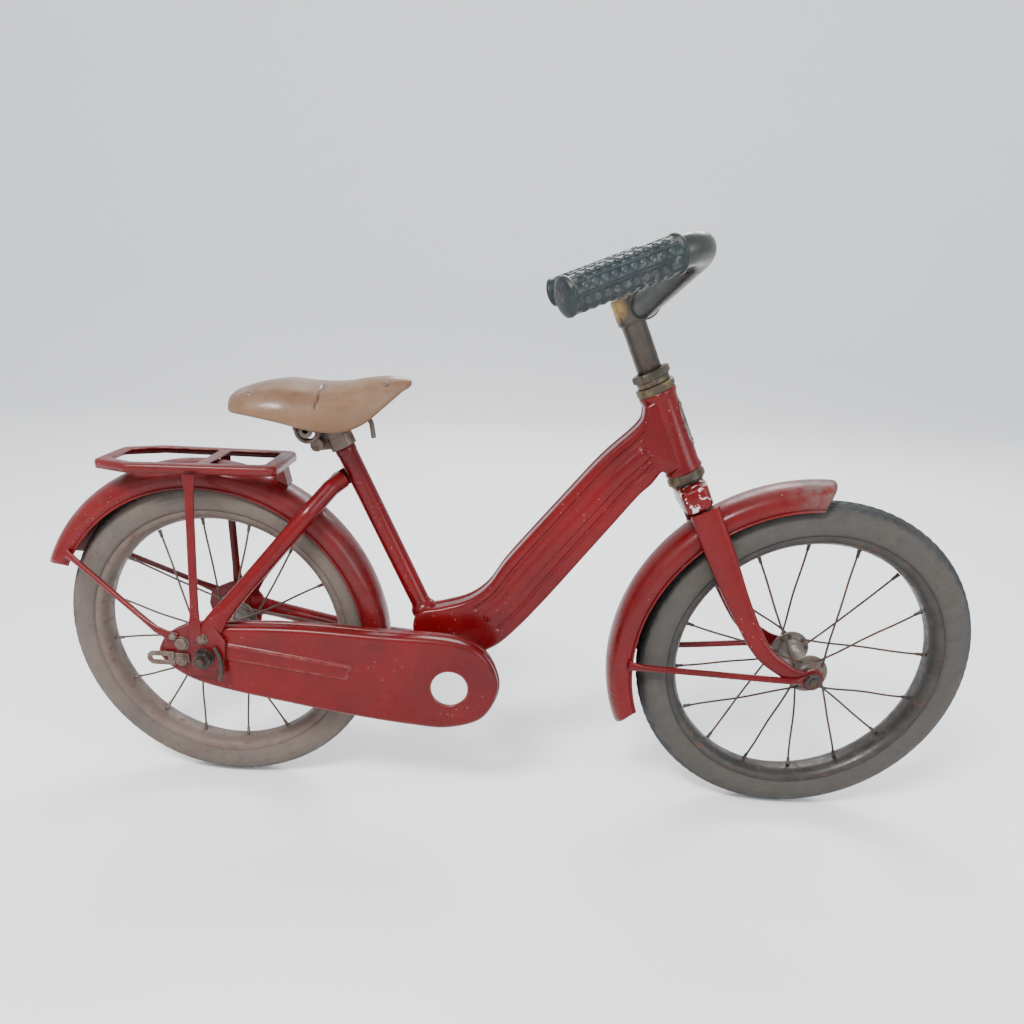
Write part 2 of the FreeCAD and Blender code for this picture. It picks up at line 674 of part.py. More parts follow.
def adjuster_tab():
    """Slotted axle adjuster that stands out behind the chain-side plate."""
    near, middle, far = -DROPOUT_Y - 6.0, -DROPOUT_Y - 4.0, -DROPOUT_Y - 2.0
    blade = side_plate(slotted_end(-318.0, 149.0, 6.5, -299.0), near, middle)
    slot = side_plate(slotted_end(-318.0, 149.0, 2.0, -305.0), near - 1, middle + 1)
    tongue = side_plate([(-303, 144), (-303, 154), (-286, 153), (-286, 145)], middle - 1, far)
    return biggest(merge([blade.cut(slot), tongue]).cut(side_disc(-293, 148, 2.5, -90, 0)))


def build_rear_axle():
    x, z = REAR_HUB_X, HUB_Z
    outside = DROPOUT_Y + 2
    shoulder = outside + 9.5
    keep("rear_axle", merge([side_disc(x, z, REAR_AXLE_RADIUS, -shoulder, shoulder),
                             side_disc(x, z, REAR_AXLE_END_RADIUS, -REAR_AXLE_HALF, REAR_AXLE_HALF)]))
    hole = side_disc(x, z, REAR_AXLE_RADIUS, -90, 90)
    washer = side_disc(x, z, 9.0, outside, outside + 1.5).cut(hole)
    nut = hexagon(x, z, 15.0, outside + 1.5, shoulder).cut(hole)
    keep("rear_nuts", Part.makeCompound([nut, mirrored(nut), washer, mirrored(washer)]))
    left_cone = side_disc(x, z, 8.5, 31.6, DROPOUT_Y - 2).cut(hole)
    right_cone = side_disc(x, z, 7.5, -DROPOUT_Y + 8.6, -45.4).cut(hole)
    keep("rear_cones", Part.makeCompound([left_cone, right_cone]))

    keep("adjuster_tab", adjuster_tab())

    # Spring hook that hangs beside the axle nut
    hook = bent_tube([(-260, -66, 158), (-256, -67, 146), (-259, -68, 129)], 2.4, [12])
    keep("hook_arm", hook)


def build_sprocket():
    """Nine-tooth sprocket on its driver sleeve, inside the chain case."""
    x, z = REAR_HUB_X, HUB_Z
    disc = side_disc(x, z, 22.0, -45.2, -42.0)
    for index in range(9):
        angle = math.radians(40 * index + 20)
        disc = disc.cut(side_disc(x + 19.5 * math.cos(angle), z + 19.5 * math.sin(angle), 4.0, -46, -41))
    sleeve = side_disc(x, z, 13.0, -42.0, -31.5)
    whole = merge([disc, sleeve])
    keep("sprocket", whole.cut(side_disc(x, z, REAR_AXLE_RADIUS + BEARING_PLAY, -60, 0)))


# ---------------------------------------------------------------- rear guard, rack

def build_rear_guard():
    rear = guard(REAR_GUARD_CENTRE, REAR_GUARD_RADIUS, REAR_GUARD_SPAN)
    keep("rear_mudguard", rear)
    stay = merge([rod((-407, -GUARD_HALF_WIDTH - 2.8, 230), (-308, -DROPOUT_Y - 4, 172), 2.8),
                  strip((-314, -DROPOUT_Y - 3.2, 176), (-294, -DROPOUT_Y - 3.2, 168), 9, 2.2)])
    stay = stay.cut(rear).cut(NODES["axle_plate_right"])
    stay = biggest(stay)
    keep("rear_guard_stays", Part.makeCompound([stay, mirrored(stay)]))


def rack_outline(inset):
    half = 41.0 - inset
    front = -202.0 - inset
    wide = 47.0 - inset
    rear = -364.0 + inset
    narrow = 31.0 - inset * 0.6
    points = [(front, -half), (-330, -wide), (rear, -narrow), (rear, narrow), (-330, wide), (front, half)]
    return points


def rack_slab(points, low, high, rounding):
    wire = Part.makePolygon([Vector(x, y, low) for x, y in points + points[:1]])
    slab = Part.Face(wire).extrude(Vector(0, 0, high - low))
    upright = [e for e in slab.Edges if abs(e.Vertexes[0].Z - e.Vertexes[1].Z) > 0.5]
    return slab.makeFillet(rounding, upright)


def build_rack():
    bottom = RACK_TOP - RACK_FLANGE
    slab = rack_slab(rack_outline(0.0), bottom, RACK_TOP, 8.0)
    hollow = rack_slab(rack_outline(RACK_SHEET), bottom - 1, RACK_TOP - RACK_SHEET, 6.6)
    top = slab.cut(hollow)
    front_window = [(-214, -29), (-262, -32), (-262, 32), (-214, 29)]
    rear_window = [(-272, -33), (-328, -35), (-352, -22), (-352, 22), (-328, 35), (-272, 33)]
    for window in (front_window, rear_window):
        top = top.cut(rack_slab(window, bottom - 1, RACK_TOP + 1, 5.0))
    clear = wheel_ring([(-30, 100), (30, 100), (30, REAR_GUARD_RADIUS + 0.4), (-30, REAR_GUARD_RADIUS + 0.4)],
                       REAR_GUARD_CENTRE, 30, 110)
    keep("rack", biggest(top.cut(clear)))

    tab = side_plate([(-214, 316), (-203, 316), (-203, 309.9), (-200, 296), (-207, 294)], -9, 9)
    tab = biggest(tab.cut(NODES["rack"]).cut(guard_solid()))
    keep("rack_tab", tab)

    strut = merge([strip((-274, -48.9, 309.5), (-278, -DROPOUT_Y - 1, 186), 8, 3.5),
                   strip((-278, -DROPOUT_Y - 0.5, 190), (-278, -DROPOUT_Y - 3.1, 166), 11, 2.2)])
    strut = strut.cut(NODES["rack"]).cut(NODES["axle_plate_right"]).cut(NODES["seat_stay_right"])
    strut = biggest(strut)
    keep("rack_struts", Part.makeCompound([strut, mirrored(strut)]))


def guard_solid():
    """Everything under the rear mudguard's crown, used to trim what rests on it."""
    half = GUARD_HALF_WIDTH + 1
    return wheel_ring([(-half, 100), (half, 100), (half, REAR_GUARD_RADIUS + 0.05),
                       (-half, REAR_GUARD_RADIUS + 0.05)], REAR_GUARD_CENTRE, 20, 120)


def build_fasteners():
    """Bolt that holds the front of the chain case to the crank hanger's lug."""
    bolt = side_disc(-48, 167, 4.5, CASE_BACK, CASE_BACK + 3.5)
    keep("case_bolt", bolt)


# ---------------------------------------------------------------- saddle

SADDLE_STATIONS = [(-245, 16, 363, 369), (-236, 36, 361, 377), (-220, 45, 360, 382),
                   (-195, 48, 356, 386), (-170, 45, 350, 384), (-147, 39, 348, 385),
                   (-128, 30, 354, 388), (-110, 20, 368, 390), (-98, 11, 378, 389),
                   (-91, 4, 383, 387)]
SADDLE_WALL = 3.0


def saddle_section(x, half, edge, crown):
    """Closed arch: outside curve over the top, inside curve back below it."""
    def arch(width, low, high, order):
        points = []
        for k in range(9):
            angle = math.pi * k / 8
            y = width * math.cos(angle)
            z = low + (high - low) * math.sin(angle) ** 0.8
            points.append(Vector(x, y, z))
        return points if order > 0 else points[::-1]
    wall = min(SADDLE_WALL, (crown - edge) * 0.45, half * 0.45)
    outside = Part.BSplineCurve()
    outside.interpolate(arch(half, edge, crown, 1))
    inside = Part.BSplineCurve()
    inside.interpolate(arch(half - wall, edge, crown - wall, -1))
    edges = [outside.toShape(),
             Part.makeLine(Vector(x, -half, edge), Vector(x, -half + wall, edge)),
             inside.toShape(),
             Part.makeLine(Vector(x, half - wall, edge), Vector(x, half, edge))]
    return Part.Wire(edges)


def build_saddle():
    sections = [saddle_section(*station) for station in SADDLE_STATIONS]
    shell = Part.makeLoft(sections, True, False)
    keep("saddle_shell", shell)

    keep("seat_post", seat_rod(95, SADDLE_PIVOT - 8.6, SEAT_POST_RADIUS))
    build_seat_clamp()
    build_saddle_frame()


def build_seat_clamp():
    """Split ring on the post, with two cheeks that carry the saddle's tilting bolt."""
    x, z = seat_point(SEAT_TUBE_TOP + 6)
    pivot_x, pivot_z = seat_point(SADDLE_PIVOT)
    ring = seat_rod(SEAT_TUBE_TOP, SEAT_TUBE_TOP + 11, 11.5)
    ear = side_plate([(x - 24, z - 9), (x - 22, z + 4), (x, z + 8), (x, z - 6)], -7, 7)
    clamp = merge([ring, ear])
    clamp = clamp.cut(seat_rod(90, 200, SEAT_POST_RADIUS)).cut(seat_rod(0, SEAT_TUBE_TOP, 30))
    clamp = clamp.cut(side_plate([(x - 30, z - 20), (x - 30, z + 20), (x - 8, z + 20), (x - 8, z - 20)],
                                 -1, 1))
    low_back = seat_point(SEAT_TUBE_TOP, -6)
    low_front = seat_point(SEAT_TUBE_TOP, 6)
    high_front = seat_point(SADDLE_PIVOT, 6)
    high_back = seat_point(SADDLE_PIVOT, -6)
    cheek = merge([side_plate([low_back, low_front, high_front, high_back], 11.0, 13.0),
                   side_disc(pivot_x, pivot_z, 6.5, 11.0, 13.0)])
    clamp = merge([clamp, cheek, mirrored(cheek)])
    clamp = clamp.cut(side_disc(pivot_x, pivot_z, 8.6, -10.95, 10.95))
    bolt_x, bolt_z = x - 18, z - 2
    clamp = clamp.cut(side_disc(bolt_x, bolt_z, 3.0, -20, 20))
    clamp = clamp.cut(side_disc(pivot_x, pivot_z, 3.0, -20, 20))
    keep("seat_clamp", biggest(clamp))
    squeeze = merge([side_disc(bolt_x, bolt_z, 3.0, -16, 11),
                     side_disc(bolt_x, bolt_z, 5.5, -17.5, -7.0),
                     hexagon(bolt_x, bolt_z, 10, 7.0, 11.5)])
    tilting = merge([side_disc(pivot_x, pivot_z, 3.0, -16, 16),
                     hexagon(pivot_x, pivot_z, 9, -17, -13), hexagon(pivot_x, pivot_z, 9, 13, 17)])
    keep("seat_clamp_bolts", Part.makeCompound([squeeze, tilting]))


def build_saddle_frame():
    """Under-frame: a head between the cheeks, a rail from nose to tail and two coil springs."""
    x, z = seat_point(SADDLE_PIVOT)
    head = side_disc(x, z, 8.0, -10.7, 10.7)
    rail = bent_tube([(-106, 0, 382), (x, 0, z + 1), (-222, 0, 374)], 3.5, [40])
    hook = bent_tube([(-138, 0, 361), (-126, 0, 352), (-124, 0, 338)], 2.2, [8])
    frame = merge([head, rail, hook]).cut(side_disc(x, z, 3.0 + BEARING_PLAY, -20, 20))
    keep("saddle_rail", biggest(frame))

    coil_x, coil_z = -176.0, 347.0
    coils = [side_disc(coil_x, coil_z, 3.0, -33, 33)]
    for y in (20, 25, 30):
        ring = Part.makeTorus(9.5, 1.8, Vector(coil_x, y, coil_z), Vector(0, 1, 0))
        coils += [ring, mirrored(ring)]
    keep("saddle_spring", Part.makeCompound(coils))


# ---------------------------------------------------------------- everything

def export_all():
    rear_edge = min(shape.BoundBox.XMin for shape in NODES.values())
    front_edge = FRONT_HUB_X + TYRE_RADIUS
    shift = -(rear_edge + front_edge) / 2
    os.makedirs("parts", exist_ok=True)
    for name, shape in NODES.items():
        moved = shape.copy()
        moved.translate(Vector(shift, 0, 0))
        if not moved.isValid():
            print("not valid:", name)
        print(name, len(moved.Solids), round(moved.Volume / 1000, 2), "cm3")
        moved.exportStep("parts/" + name + ".step")
    print("shift along X", round(shift, 3), "nodes", len(NODES))


build_wheels()
build_steering()
build_front_axle()
build_front_guard()
build_handlebar()
build_frame()
build_rear_axle()
build_sprocket()
build_rear_guard()
build_rack()
build_saddle()
export_all()
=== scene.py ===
import math
import random

import bmesh
import bpy
from mathutils import Matrix, Vector


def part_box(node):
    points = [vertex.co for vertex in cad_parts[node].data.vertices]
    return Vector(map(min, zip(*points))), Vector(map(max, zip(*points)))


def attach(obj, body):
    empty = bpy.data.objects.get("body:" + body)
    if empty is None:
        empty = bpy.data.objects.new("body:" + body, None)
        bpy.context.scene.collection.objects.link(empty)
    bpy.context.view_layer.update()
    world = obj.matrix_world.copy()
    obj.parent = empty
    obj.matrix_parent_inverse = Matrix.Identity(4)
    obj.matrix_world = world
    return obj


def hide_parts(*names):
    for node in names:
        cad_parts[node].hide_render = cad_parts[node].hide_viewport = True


# Looks of a small vintage child's bicycle: red pressed-steel frame, spoked wheels, dark moulded
# grips and a tan moulded saddle. Shapes are drawn in the same millimetres as the CAD design, with
# X = 0 halfway between the axles, and at() turns them into the scene's metres.
# "right" is the rider's right, the chain side, at -Y.

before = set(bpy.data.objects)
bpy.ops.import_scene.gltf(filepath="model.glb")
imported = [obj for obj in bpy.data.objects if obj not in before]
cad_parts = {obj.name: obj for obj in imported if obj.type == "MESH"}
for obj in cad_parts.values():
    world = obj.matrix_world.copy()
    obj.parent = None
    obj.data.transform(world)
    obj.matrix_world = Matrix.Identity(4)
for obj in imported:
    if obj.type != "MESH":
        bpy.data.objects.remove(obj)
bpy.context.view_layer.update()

MM = 0.001
FRONT_HUB = (272.5, 150.0)
REAR_HUB = (-272.5, 150.0)
CRANK = (-50, 128.5)
HEAD_FOOT = (143.5, 320.0)
HEAD_LEAN = math.radians(26.0)
SEAT_FOOT = (-79.0, 183.0)
SEAT_LEAN = math.radians(25.8)
axle_low, axle_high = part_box("front_axle")
SHIFT = (axle_low.x + axle_high.x) / 2 - FRONT_HUB[0] * MM


# ---------------------------------------------------------------- places

def at(point):
    """Scene position of a point given in the drawing's millimetres."""
    return Vector((point[0] * MM + SHIFT, point[1] * MM, point[2] * MM))


def on_head(x, y, along):
    """Drawing point on the steering axis frame: x forward of it, along it upwards."""
    return Vector((HEAD_FOOT[0] + x * math.cos(HEAD_LEAN) - along * math.sin(HEAD_LEAN), y,
                   HEAD_FOOT[1] + x * math.sin(HEAD_LEAN) + along * math.cos(HEAD_LEAN)))


def on_seat(x, y, along):
    """Drawing point on the seat tube frame: x forward of it, along it upwards."""
    return Vector((SEAT_FOOT[0] + x * math.cos(SEAT_LEAN) - along * math.sin(SEAT_LEAN), y,
                   SEAT_FOOT[1] + x * math.sin(SEAT_LEAN) + along * math.cos(SEAT_LEAN)))


HEAD_AXIS = on_head(0, 0, 1) - on_head(0, 0, 0)
SEAT_AXIS = on_seat(0, 0, 1) - on_seat(0, 0, 0)
ACROSS = Vector((0, 1, 0))


# ---------------------------------------------------------------- outlines and paths

def curve_point(before, first, last, after, t):
    """Point on a smooth curve between first and last."""
    return tuple(0.5 * (2 * b + (c - a) * t + (2 * a - 5 * b + 4 * c - d) * t ** 2
                        + (3 * b - a - 3 * c + d) * t ** 3)
                 for a, b, c, d in zip(before, first, last, after))


def smooth_path(points, steps):
    """Open smooth curve through tuples of any length."""
    out = []
    last = len(points) - 1
    for index in range(last):
        four = [points[min(max(index + k, 0), last)] for k in (-1, 0, 1, 2)]
        out += [curve_point(*four, step / steps) for step in range(steps)]
    return out + [tuple(points[-1])]


def smooth_outline(points, steps):
    """Closed smooth curve through (u, v) points."""
    out = []
    count = len(points)
    for index in range(count):
        four = [points[(index + k) % count] for k in (-1, 0, 1, 2)]
        out += [curve_point(*four, step / steps) for step in range(steps)]
    return out


def inset(points, distance):
    """A closed outline moved inwards (or outwards when the distance is negative)."""
    count = len(points)
    area = sum(points[k - 1][0] * points[k][1] - points[k][0] * points[k - 1][1] for k in range(count))
    sense = math.copysign(1.0, area)
    moved = []
    for index in range(count):
        corner = Vector(points[index])
        first = (corner - Vector(points[index - 1])).normalized()
        second = (Vector(points[(index + 1) % count]) - corner).normalized()
        normal_a = Vector((-first.y, first.x)) * sense
        normal_b = Vector((-second.y, second.x)) * sense
        shift = (normal_a + normal_b) * (distance / (1.0 + normal_a.dot(normal_b)))
        moved.append(tuple(corner + shift))
    return moved


def rounded_outline(points, radius, steps=5):
    """Closed polygon with round corners."""
    out = []
    count = len(points)
    for index in range(count):
        corner = Vector(points[index])
        back = (Vector(points[index - 1]) - corner).normalized()
        onward = (Vector(points[(index + 1) % count]) - corner).normalized()
        half = back.angle(onward) / 2
        reach = radius / math.tan(half)
        middle = corner + (back + onward).normalized() * (radius / math.sin(half))
        first = corner + back * reach - middle
        last = corner + onward * reach - middle
        turn = first.angle_signed(last)
        for step in range(steps + 1):
            angle = -turn * step / steps
            spun = Vector((first.x * math.cos(angle) - first.y * math.sin(angle),
                           first.x * math.sin(angle) + first.y * math.cos(angle)))
            out.append(tuple(middle + spun))
    return out


def circle(u, v, radius, count=40):
    return [(u + radius * math.cos(math.tau * k / count), v + radius * math.sin(math.tau * k / count))
            for k in range(count)]


def bent_path(points, bends, steps=8):
    """Straight runs joined by arcs, one bend radius for each inner corner."""
    points = [Vector(p) for p in points]
    path = [points[0]]
    for index in range(1, len(points) - 1):
        corner = points[index]
        incoming = (corner - points[index - 1]).normalized()
        outgoing = (points[index + 1] - corner).normalized()
        turn = incoming.angle(outgoing)
        reach = bends[index - 1] * math.tan(turn / 2)
        axis = incoming.cross(outgoing).normalized()
        first = corner - incoming * reach
        centre = first + axis.cross(incoming) * bends[index - 1]
        for step in range(steps + 1):
            path.append(centre + Matrix.Rotation(turn * step / steps, 3, axis) @ (first - centre))
    return path + [points[-1]]


def divided(path, longest):
    """The same path with extra points on its long runs."""
    out = [Vector(path[0])]
    for point in path[1:]:
        start = out[-1]
        gap = Vector(point) - start
        count = max(1, math.ceil(gap.length / longest))
        out += [start + gap * (k + 1) / count for k in range(count)]
    return out


def drum(low, high, radius, bevel=0.6, bore=0.0):
    """Ring profile of (along, radius) points with softened outer corners."""
    inner = bore if bore > 0 else 0.01
    return [(low, inner), (low, radius - bevel), (low + 0.3 * bevel, radius - 0.3 * bevel),
            (low + bevel, radius), (high - bevel, radius), (high - 0.3 * bevel, radius - 0.3 * bevel),
            (high, radius - bevel), (high, inner)]


# ---------------------------------------------------------------- mesh building

class Mesh:
    """Gathers vertices and faces in the drawing's millimetres, then becomes one object."""

    def __init__(self):
        self.bm = bmesh.new()
        self.mark = self.bm.verts.layers.float_color.new("mark")

    def loop(self, points, mark=0.0):
        made = [self.bm.verts.new(at(p)) for p in points]
        for vert in made:
            vert[self.mark] = (mark, mark, mark, 1.0)
        return made

    def face(self, verts, slot=0):
        made = self.bm.faces.new(verts)
        made.material_index = slot
        return made

    def bridge(self, first, second, closed=True, slot=0):
        count = len(first)
        for k in range(count if closed else count - 1):
            n = (k + 1) % count
            self.face((first[k], first[n], second[n], second[k]), slot)

    def skin(self, loops, closed=True, slot=0):
        for first, second in zip(loops, loops[1:]):
            self.bridge(first, second, closed, slot)

    def cap(self, verts):
        middle = self.bm.verts.new(sum((v.co for v in verts), Vector()) / len(verts))
        middle[self.mark] = verts[0][self.mark]
        for k in range(len(verts)):
            self.face((verts[k - 1], verts[k], middle))

    def fill(self, loops):
        """Flat area between an outline and the holes in it."""
        edges = []
        for verts in loops:
            for k in range(len(verts)):
                pair = (verts[k - 1], verts[k])
                edges.append(self.bm.edges.get(pair) or self.bm.edges.new(pair))
        bmesh.ops.triangle_fill(self.bm, use_beauty=True, edges=edges)

    def turned(self, profile, origin, axis, count=48, across=None, slot=0):
        """Ring profile spun round an axis; across trims it to a hexagon of that width."""
        axis = Vector(axis).normalized()
        side = axis.cross(ACROSS)
        side = side.normalized() if side.length > 0.1 else Vector((1, 0, 0))
        other = axis.cross(side)
        origin = Vector(origin)
        loops = []
        for along, radius in profile:
            points = []
            for k in range(count):
                angle = math.tau * k / count
                reach = radius
                if across:
                    sector = (math.tau * k / count) % (math.pi / 3) - math.pi / 6
                    reach = min(radius, across / 2 / math.cos(sector))
                points.append(origin + axis * along
                              + side * reach * math.cos(angle) + other * reach * math.sin(angle))
            loops.append(self.loop(points))
        self.skin(loops + [loops[0]], slot=slot)

    def swept(self, path, sizes, count=24, power=1.0, facing=ACROSS):
        """Bar along a path. sizes holds (half width, half depth) for each point; depth is along facing."""
        path = [Vector(p) for p in path]
        if not isinstance(sizes, list):
            sizes = [sizes] * len(path)
        loops = []
        side = None
        for index, point in enumerate(path):
            along = (path[min(index + 1, len(path) - 1)] - path[max(index - 1, 0)]).normalized()
            side = along.cross(facing) if side is None else side - along * side.dot(along)
            side.normalize()
            depth = along.cross(side)
            half_width, half_depth = sizes[index]
            points = []
            for k in range(count):
                angle = math.tau * k / count
                wide = math.copysign(abs(math.cos(angle)) ** power, math.cos(angle)) * half_width
                deep = math.copysign(abs(math.sin(angle)) ** power, math.sin(angle)) * half_depth
                points.append(point + side * wide + depth * deep)
            loops.append(self.loop(points))
        self.closed_skin(loops)

    def closed_skin(self, loops):
        """Skin with both ends capped."""
        self.skin(loops)
        self.cap(loops[0])
        self.cap(loops[-1])

    def lofted(self, loops):
        self.closed_skin([self.loop(points) for points in loops])

    def pressed(self, rings, features, place):
        """Sheet shape: rings of (outline, level) from the edge to a flat floor, with features in it.

        Each feature is a list of (outline, level) loops that starts on the floor, a flag that says
        whether its last loop is closed over, and how worn its edges are.
        """
        made = [self.loop([place(u, v, level) for u, v in outline]) for outline, level in rings]
        self.skin(made)
        edges = [made[-1]]
        for loops, closed_over, wear in features:
            inner = []
            for index, (outline, level) in enumerate(loops):
                mark = wear if 0 < index < len(loops) - 1 else 0.0
                inner.append(self.loop([place(u, v, level) for u, v in outline], mark))
            self.skin(inner)
            edges.append(inner[0])
            if closed_over:
                self.fill([inner[-1]])
        self.fill(edges)

    def open_up(self, origin, axis, radius):
        """Remove the faces within a radius of an axis."""
        origin = at(origin)
        inside = []
        for face in self.bm.faces:
            spot = face.calc_center_median() - origin
            if (spot - axis * spot.dot(axis)).length < radius * MM:
                inside.append(face)
        bmesh.ops.delete(self.bm, geom=inside, context="FACES")

    def plate(self, outline, holes, low, high, bevel, place):
        """Thick flat plate with softened edges and through holes."""
        levels = [(low, bevel), (low + bevel, 0.0), (high - bevel, 0.0), (high, bevel)]
        rims = []
        for sign, shape in [(1, outline)] + [(-1, hole) for hole in holes]:
            loops = [self.loop([place(u, v, level) for u, v in inset(shape, sign * amount)])
                     for level, amount in levels]
            self.skin(loops)
            rims.append(loops)
        self.fill([loops[0] for loops in rims])
        self.fill([loops[-1] for loops in rims])

    def piece(self, name, body, materials, nodes, sheet=0.0, sharp=38.0):
        """Finish the mesh as an object that stands for the given CAD nodes."""
        bmesh.ops.remove_doubles(self.bm, verts=self.bm.verts, dist=0.002 * MM)
        bmesh.ops.recalc_face_normals(self.bm, faces=self.bm.faces)
        middle = sum((v.co for v in self.bm.verts), Vector()) / len(self.bm.verts)
        facing_out = sum((f.calc_center_median() - middle).dot(f.normal) * f.calc_area()
                         for f in self.bm.faces)
        if sheet and facing_out < 0:
            bmesh.ops.reverse_faces(self.bm, faces=self.bm.faces)
        data = bpy.data.meshes.new(name)
        self.bm.to_mesh(data)
        self.bm.free()
        data.shade_smooth()
        data.set_sharp_from_angle(angle=math.radians(sharp))
        made = bpy.data.objects.new(name, data)
        bpy.context.scene.collection.objects.link(made)
        for material in materials:
            data.materials.append(material)
        if sheet:
            thicken = made.modifiers.new("sheet", "SOLIDIFY")
            thicken.thickness = sheet * MM
            thicken.offset = -1.0
        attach(made, body)
        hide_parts(*nodes)


def spun_piece(name, body, material, node, profile, origin, axis, count, across=None, sharp=38.0):
    """One piece that is a single turned profile."""
    mesh = Mesh()
    mesh.turned(profile, origin, axis, count=count, across=across)
    mesh.piece(name, body, [material], [node], sharp=sharp)


# ---------------------------------------------------------------- materials

class Paint:
    """A procedural material under construction."""

    def __init__(self, name, roughness, metallic=0.0):
        self.material = bpy.data.materials.new(name)
        self.material.use_nodes = True
        self.tree = self.material.node_tree
        self.shader = self.tree.nodes["Principled BSDF"]
        self.shader.inputs["Roughness"].default_value = roughness
        self.shader.inputs["Metallic"].default_value = metallic
        self.coords = self.tree.nodes.new("ShaderNodeTexCoord")

    def put(self, socket, value):
        """Link a socket to another one, or set it. Colours get full alpha."""
        if isinstance(value, bpy.types.NodeSocket):
            self.tree.links.new(value, socket)
        elif socket.type == "RGBA" and len(value) == 3:
            socket.default_value = (*value, 1.0)
        else:
            socket.default_value = value

    def add(self, kind, inputs, output, **settings):
        """Add a node, fill its inputs and return one of its outputs."""
        node = self.tree.nodes.new(kind)
        for name, value in settings.items():
            setattr(node, name, value)
        for name, value in inputs.items():
            self.put(node.inputs[name], value)
        return node.outputs[output]

    def noise(self, scale, detail=4.0, rough=0.6, stretch=(1, 1, 1)):
        place = self.add("ShaderNodeMapping", {"Vector": self.coords.outputs["Object"], "Scale": stretch},
                         "Vector")
        return self.add("ShaderNodeTexNoise",
                        {"Vector": place, "Scale": scale, "Detail": detail, "Roughness": rough}, "Fac")

    def specks(self, scale, low, high):
        """1 near scattered points, 0 away from them."""
        distance = self.add("ShaderNodeTexVoronoi",
                            {"Vector": self.coords.outputs["Object"], "Scale": scale}, "Distance")
        return self.span(distance, high, low)

    def span(self, value, low, high, start=0.0, end=1.0):
        return self.add("ShaderNodeMapRange", {"Value": value, "From Min": low, "From Max": high,
                                               "To Min": start, "To Max": end}, "Result")

    def calc(self, operation, first, second):
        return self.add("ShaderNodeMath", {0: first, 1: second}, "Value", operation=operation)

    def mix(self, amount, first, second):
        return self.add("ShaderNodeMix", {0: amount, 6: first, 7: second}, 2, data_type="RGBA")

    def axis(self, name, source="Object"):
        return self.add("ShaderNodeSeparateXYZ", {0: self.coords.outputs[source]}, name)

    def near(self, point, inner, outer):
        """1 within inner millimetres of a drawing point, fading to 0 at outer."""
        distance = self.add("ShaderNodeVectorMath", {0: self.coords.outputs["Object"], 1: at(point)},
                            "Value", operation="DISTANCE")
        return self.span(distance, outer * MM, inner * MM)

    def marked(self):
        return self.add("ShaderNodeAttribute", {}, "Fac", attribute_name="mark")

    def bump(self, height, strength, distance):
        normal = self.add("ShaderNodeBump", {"Strength": strength, "Distance": distance * MM,
                                             "Height": height}, "Normal")
        self.put(self.shader.inputs["Normal"], normal)

    def done(self, colour, roughness=None, metallic=None, coat=0.0, shine=0.3):
        self.put(self.shader.inputs["Base Color"], colour)
        if roughness is not None:
            self.put(self.shader.inputs["Roughness"], roughness)
        if metallic is not None:
            self.put(self.shader.inputs["Metallic"], metallic)
        self.shader.inputs["Coat Weight"].default_value = coat
        self.shader.inputs["Specular IOR Level"].default_value = shine
        self.shader.inputs["Coat Roughness"].default_value = 0.12
        return self.material


DEEP_RED = (0.075, 0.0010, 0.0022)
BRIGHT_RED = (0.125, 0.0012, 0.0026)
DUST = (0.095, 0.055, 0.047)
RUST = (0.075, 0.030, 0.015)


def red_enamel(name, dust, chips, chip_colour=(0.05, 0.03, 0.028)):
    """Old gloss enamel: uneven colour, dust where it faces up, chips and faint scratches."""
    paint = Paint(name, 0.3)
    tone = paint.span(paint.noise(9, 3), 0.35, 0.68)
    colour = paint.mix(tone, DEEP_RED, BRIGHT_RED)
    grime = paint.span(paint.noise(26, 6, 0.7), 0.48, 0.75, 0.0, 0.5)
    colour = paint.mix(grime, colour, (0.042, 0.0025, 0.004))
    upward = paint.span(paint.axis("Z", "Normal"), 0.0, 1.0, 0.35, 1.0)
    film = paint.calc("MULTIPLY", upward, paint.span(paint.noise(40, 7, 0.75), 0.3, 0.75, 0.0, dust))
    colour = paint.mix(film, colour, DUST)
    scratch = paint.span(paint.noise(60, 2, 0.5, (1.0, 1.0, 7.0)), 0.69, 0.72)
    scratch = paint.calc("MULTIPLY", scratch, paint.span(paint.noise(14, 3), 0.5, 0.62, 0.0, 0.12))
    colour = paint.mix(scratch, colour, (0.40, 0.16, 0.14))
    worn = paint.calc("MULTIPLY", paint.marked(), paint.span(paint.noise(85, 5, 0.7), 0.38, 0.62))
    colour = paint.mix(worn, colour, (0.36, 0.15, 0.125))
    chipped = paint.span(paint.noise(150, 5, 0.62), 0.735 - chips, 0.75 - chips)
    colour = paint.mix(chipped, colour, chip_colour)
    dots = paint.calc("MULTIPLY", paint.specks(210, 0.06, 0.12), paint.span(paint.noise(18, 2), 0.55, 0.6))
    colour = paint.mix(paint.calc("MULTIPLY", dots, 0.5), colour, (0.45, 0.36, 0.32))
    rough = paint.calc("ADD", paint.span(paint.noise(70, 5), 0.3, 0.7, 0.17, 0.33),
                       paint.calc("MULTIPLY", film, 0.8))
    rough = paint.calc("ADD", rough, paint.calc("MULTIPLY", chipped, 0.3))
    height = paint.calc("SUBTRACT", paint.calc("MULTIPLY", paint.noise(95, 3), 0.35), chipped)
    paint.bump(height, 0.25, 0.5)
    return paint, colour, rough


def plain_red(name, dust, chips):
    paint, colour, rough = red_enamel(name, dust, chips)
    return paint.done(colour, rough, coat=0.10, shine=0.17)


def crown_red():
    """The fork crown: many pale chips."""
    paint, colour, rough = red_enamel("crown_enamel", 0.15, 0.165, (0.55, 0.53, 0.50))
    return paint.done(colour, rough, coat=0.08, shine=0.17)


